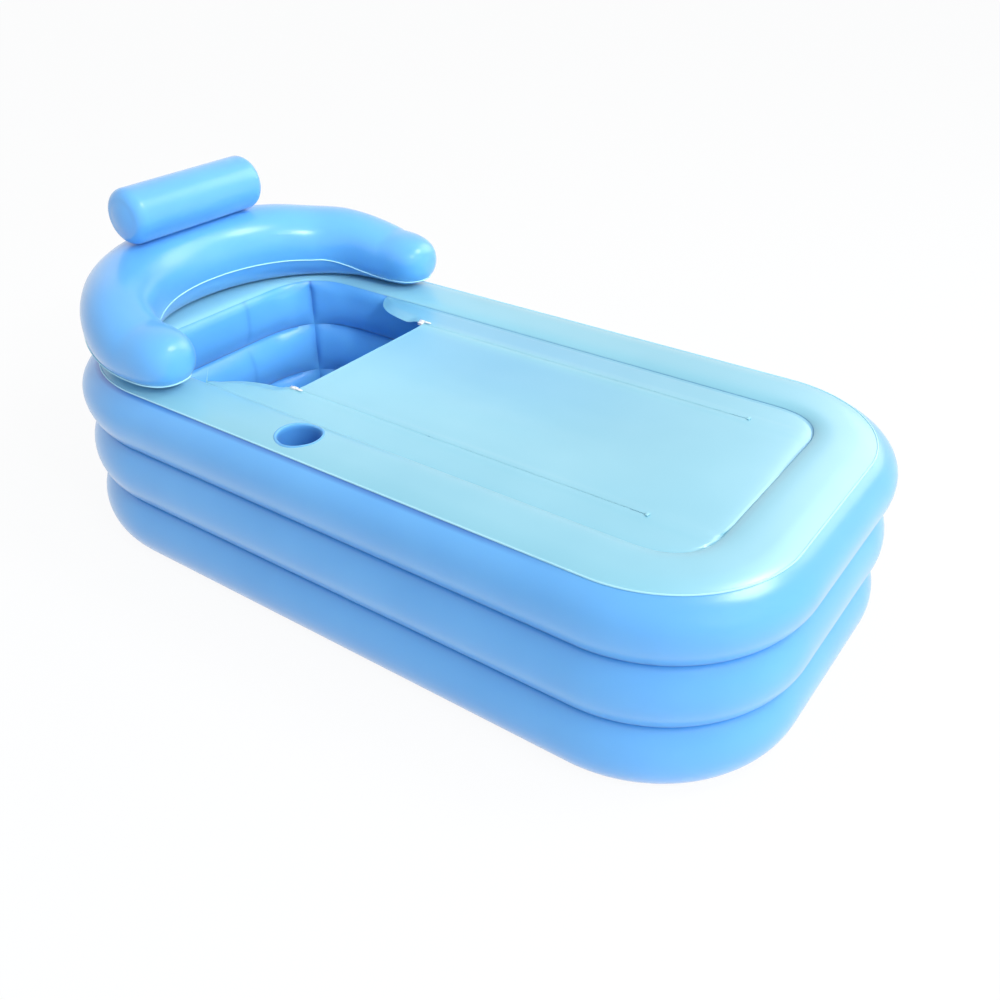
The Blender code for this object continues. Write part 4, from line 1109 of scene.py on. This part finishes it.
def zip_tape(name, node, body):
    """A woven tape with its row of coil teeth along the edge that faces the other tape."""
    low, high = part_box(node)
    zip_line = math.copysign(ZIP_Y, low.y)
    tooth_edge, tape_edge = sorted((low.y, high.y), key=lambda y: abs(y - zip_line))
    away = math.copysign(1, tape_edge - tooth_edge)
    wide = abs(tape_edge - tooth_edge) + TAPE_TUCK
    length = high.x - low.x

    def place(u, v):
        across = TAPE_START + (wide - TAPE_START) * v
        drop = TAPE_TUCK_DROP * smooth_step(across, wide - 2 * TAPE_TUCK, wide - TAPE_TUCK)
        x = low.x + length * u
        ripple = TAPE_RIPPLE * math.sin(2 * math.pi * x / TAPE_RIPPLE_LENGTH)
        return Vector((x, tooth_edge + away * across, COVER_Z - drop + ripple))

    bm = mapped_sheet(max(round(length / TAPE_STEP), 2), TAPE_ROWS, place)
    thicken(bm, TAPE_THICKNESS)
    shift = OTHER_TOOTH_SHIFT if away > 0 else TOOTH_SHIFT
    ends = sorted((tooth_edge - away * TOOTH_REACH, tooth_edge + away * TOOTH_LENGTH))
    for k in range(math.ceil(low.x / TOOTH_PITCH), math.floor(high.x / TOOTH_PITCH) - 1):
        x = (k + shift) * TOOTH_PITCH
        add_block(bm, (x, ends[0], COVER_Z - TOOTH_HEIGHT / 2),
                  (x + TOOTH_PITCH * TOOTH_SHARE, ends[1], COVER_Z + TOOTH_HEIGHT / 2), TOOTH_EDGE)
    sharpen(add_piece(name, bm, ZIP_WEAVE, node, body), SHARP_TAPE_DEGREES)


def build_zips():
    for where in ("far", "near"):
        for length, body in (("outer", "tub"), ("rear", "cover_rear"), ("front", "cover_front")):
            zip_tape(f"zip_weave_{where}_{length}", f"zip_tape_{where}_{length}", body)
        softened("zip_slider_" + where, "slider_" + where, ZIP_PLASTIC, "slider_" + where, SLIDER_EDGE)
        softened("zip_pull_" + where, "pull_tab_" + where, ZIP_PLASTIC, "pull_" + where, SLIDER_EDGE)
        softened("zip_stop_" + where, "zip_end_" + where, ZIP_WEAVE, "tub", STOP_EDGE)


def fitting_place(joint_name, outward, offset, height):
    """Frame of a fitting from its cap's hinge: Z points out of the film and X runs level."""
    joint = next(j for j in frame["joints"] if j["name"] == joint_name)
    outward = Vector(outward).normalized()
    axis = -Vector(joint["axis"]).normalized()
    level = axis.cross(outward)
    turn = Matrix((level, axis, outward)).transposed().to_4x4()
    return Matrix.Translation(joint["pos_m"]) @ turn @ Matrix.Translation((offset, 0, -height))


def fitting(prefix, base_node, cap_node, size, joint_name, outward):
    """A flanged base with its bore and strap lug, and a cap with plug, strap and finger grip."""
    flange, flange_radius, cap_radius, plug_radius = size.flange, size.flange_radius, size.cap_radius, size.plug_radius
    low = flange + GAP
    high = low + size.cap
    place = fitting_place(joint_name, outward, size.offset, high)
    edge = flange * FLANGE_EDGE_SHARE
    base = spun(((size.bore_radius, -size.stem), (size.bore_radius, flange - edge),
                 (size.bore_radius + edge, flange), (flange_radius - edge, flange), (flange_radius, flange - edge),
                 (flange_radius, FLANGE_LIFT), (size.stem_radius, 0), (size.stem_radius, -size.stem)),
                SEAT_STEPS, place, True)
    half = size.lug_width / 2
    add_block(base, (-(size.offset + size.lug), -half, flange * LUG_FOOT_SHARE), (-(size.offset + GAP), half, high),
              LUG_EDGE, place)
    seat = add_piece(prefix + "_seat", base, VALVE_VINYL, base_node)
    soft = size.cap * CAP_EDGE_SHARE
    plug_z = low - size.plug
    dish_z = high - soft * DISH_DEPTH_SHARE
    lid = spun(((0, plug_z), (plug_radius - soft / 2, plug_z), (plug_radius, plug_z + soft / 2), (plug_radius, low),
                (cap_radius - soft, low), (cap_radius, low + soft), (cap_radius, high - soft),
                (cap_radius - soft, high), (cap_radius * DISH_SHARES[0], high), (cap_radius * DISH_SHARES[1], dish_z),
                (0, dish_z)), LID_STEPS, place)
    strap_low = high - min(size.cap * STRAP_SHARE, STRAP_THICKNESS)
    strap_half = half - STRAP_INSET
    grip_half = size.lug_width * GRIP_SHARE
    root = cap_radius * STRAP_ROOT_SHARE
    add_block(lid, (-size.offset, -strap_half, strap_low), (-root, strap_half, high), STRAP_EDGE, place)
    add_block(lid, (root, -grip_half, strap_low), (cap_radius + size.grip, grip_half, high), LUG_EDGE, place)
    lid = add_piece(prefix + "_lid", lid, VALVE_VINYL, cap_node, cap_node)
    for piece in (seat, lid):
        sharpen(piece, SHARP_FITTING_DEGREES)


def build_fittings():
    for where, outward in VALVE_OUTWARD.items():
        valve = where + "_valve"
        fitting(valve, valve + "_base", valve + "_cap", VALVE, where + "_cap_open", outward)
    fitting("floor_drain", "drain_flange", "drain_cap", DRAIN, "drain_cap_open", (0, 0, 1))


def dress_nodes():
    """Gives each CAD node that still shows its finish."""
    finishes = {"blue_film": BLUE_FILM, "cyan_film": CYAN_FILM, "clear_bead": CLEAR_BEAD,
                "white_tape": ZIP_WEAVE, "white_plastic": ZIP_PLASTIC, "valve_plastic": VALVE_VINYL}
    for node in frame["nodes"].values():
        for place in node.material_slots:
            name = place.material.name.split(".")[0] if place.material else ""
            if name in finishes:
                place.material = finishes[name]


# ---- stage

def seen_rays(tree):
    """1 for camera rays and for those that glossy and clear things show, 0 for those that light the object."""
    ways = add_node(tree, "LightPath")
    seen = ways.outputs["Is Camera Ray"]
    for name in ("Is Glossy Ray", "Is Transmission Ray"):
        join = add_node(tree, "Math")
        join.operation = "MAXIMUM"
        tree.links.new(seen, join.inputs[0])
        tree.links.new(ways.outputs[name], join.inputs[1])
        seen = join.outputs[0]
    return seen


def mix_by(tree, share, first, second, output_kind):
    """Ends a node tree with a mix of two shaders."""
    mix = add_node(tree, "MixShader", Fac=share)
    tree.links.new(first.outputs[0], mix.inputs[1])
    tree.links.new(second.outputs[0], mix.inputs[2])
    add_node(tree, output_kind, Surface=mix.outputs[0])


def build_stage():
    bm = bmesh.new()
    bmesh.ops.create_grid(bm, x_segments=1, y_segments=1, size=FLOOR_HALF)
    bmesh.ops.translate(bm, vec=(0, 0, -FLOOR_DROP), verts=bm.verts)
    floor = add_object("floor", mesh_from("floor", bm))
    made = bpy.data.materials.new("floor")
    tree = bare_tree(made)
    share = add_node(tree, "Math")
    share.operation = "MULTIPLY"
    share.inputs[1].default_value = FLOOR_WHITE_SHARE
    tree.links.new(seen_rays(tree), share.inputs[0])
    matt = add_node(tree, "BsdfDiffuse", Color=FLOOR_COLOUR)
    glow = add_node(tree, "Emission", Color=WHITE)
    mix_by(tree, share.outputs[0], matt, glow, "OutputMaterial")
    floor.data.materials.append(made)


def hang_lamp(name, kind, place, target, energy):
    lamp = bpy.data.lights.new(name, kind)
    lamp.energy = energy
    made = add_object(name, lamp)
    made.location = place
    made.rotation_euler = (Vector(target) - Vector(place)).to_track_quat("-Z", "Y").to_euler()
    return made


def add_disc_lamp(name, place, target, size, energy):
    made = hang_lamp(name, "AREA", place, target, energy)
    made.data.shape = "DISK"
    made.data.size = size
    return made


def add_spot(name, place, target, cone_degrees, radius, energy):
    made = hang_lamp(name, "SPOT", place, target, energy)
    made.data.spot_size = math.radians(cone_degrees)
    made.data.spot_blend = 1.0
    made.data.shadow_soft_size = radius
    return made


def build_lights():
    """Soft key from the foot end, a top lamp, a broad sheen, a fill inside the head, and two small glints."""
    key = add_disc_lamp("key", (4.6, -0.7, 3.1), (0, 0, 0.2), size=4.0, energy=184)
    add_disc_lamp("top", (2.2, 1.2, 3.6), (0, 0, 0.3), size=1.4, energy=50)
    sheen = add_disc_lamp("sheen", (0.95, 2.8, 2.1), (0.6, -0.1, 0.35), size=2.3, energy=32)
    fill = add_spot("fill", (1.9, -0.7, 2.0), (-0.64, 0.12, 0.28), cone_degrees=16, radius=0.35, energy=330)
    crescent = add_spot("glint", (1.60, -1.12, 2.42), (-0.57, 0.21, 0.48), cone_degrees=13, radius=0.22, energy=95)
    corner = add_spot("glint", (1.33, 1.53, 2.94), (0.735, -0.251, 0.352), cone_degrees=13, radius=0.22, energy=110)
    for lamp in (key, fill):
        lamp.visible_glossy = False
    for lamp in (sheen, crescent, corner):
        lamp.visible_diffuse = False
    world = bpy.data.worlds.new("studio")
    bpy.context.scene.world = world
    tree = bare_tree(world)
    soft = add_node(tree, "Background", Color=WORLD_COLOUR, Strength=WORLD_STRENGTH)
    white = add_node(tree, "Background", Color=WHITE)
    mix_by(tree, seen_rays(tree), soft, white, "OutputWorld")


def build_camera():
    data = bpy.data.cameras.new("view")
    data.sensor_fit = "HORIZONTAL"
    data.sensor_width = SENSOR_WIDTH
    data.lens = FOCAL_PIXELS / IMAGE_WIDTH * SENSOR_WIDTH
    data.clip_start = 0.01
    camera = add_object("view", data)
    camera.location = CAMERA_PLACE
    camera.rotation_euler = (math.radians(90 - CAMERA_PITCH_DEGREES), 0, math.radians(CAMERA_YAW_DEGREES))
    bpy.context.scene.camera = camera
    bpy.context.scene.view_settings.view_transform = "Standard"


build_camera()
build_stage()
build_lights()
build_rings()
build_rim()
build_cover()
build_backrest()
build_headrest()
build_floor_cushion()
build_cup()
build_zips()
build_fittings()
dress_nodes()
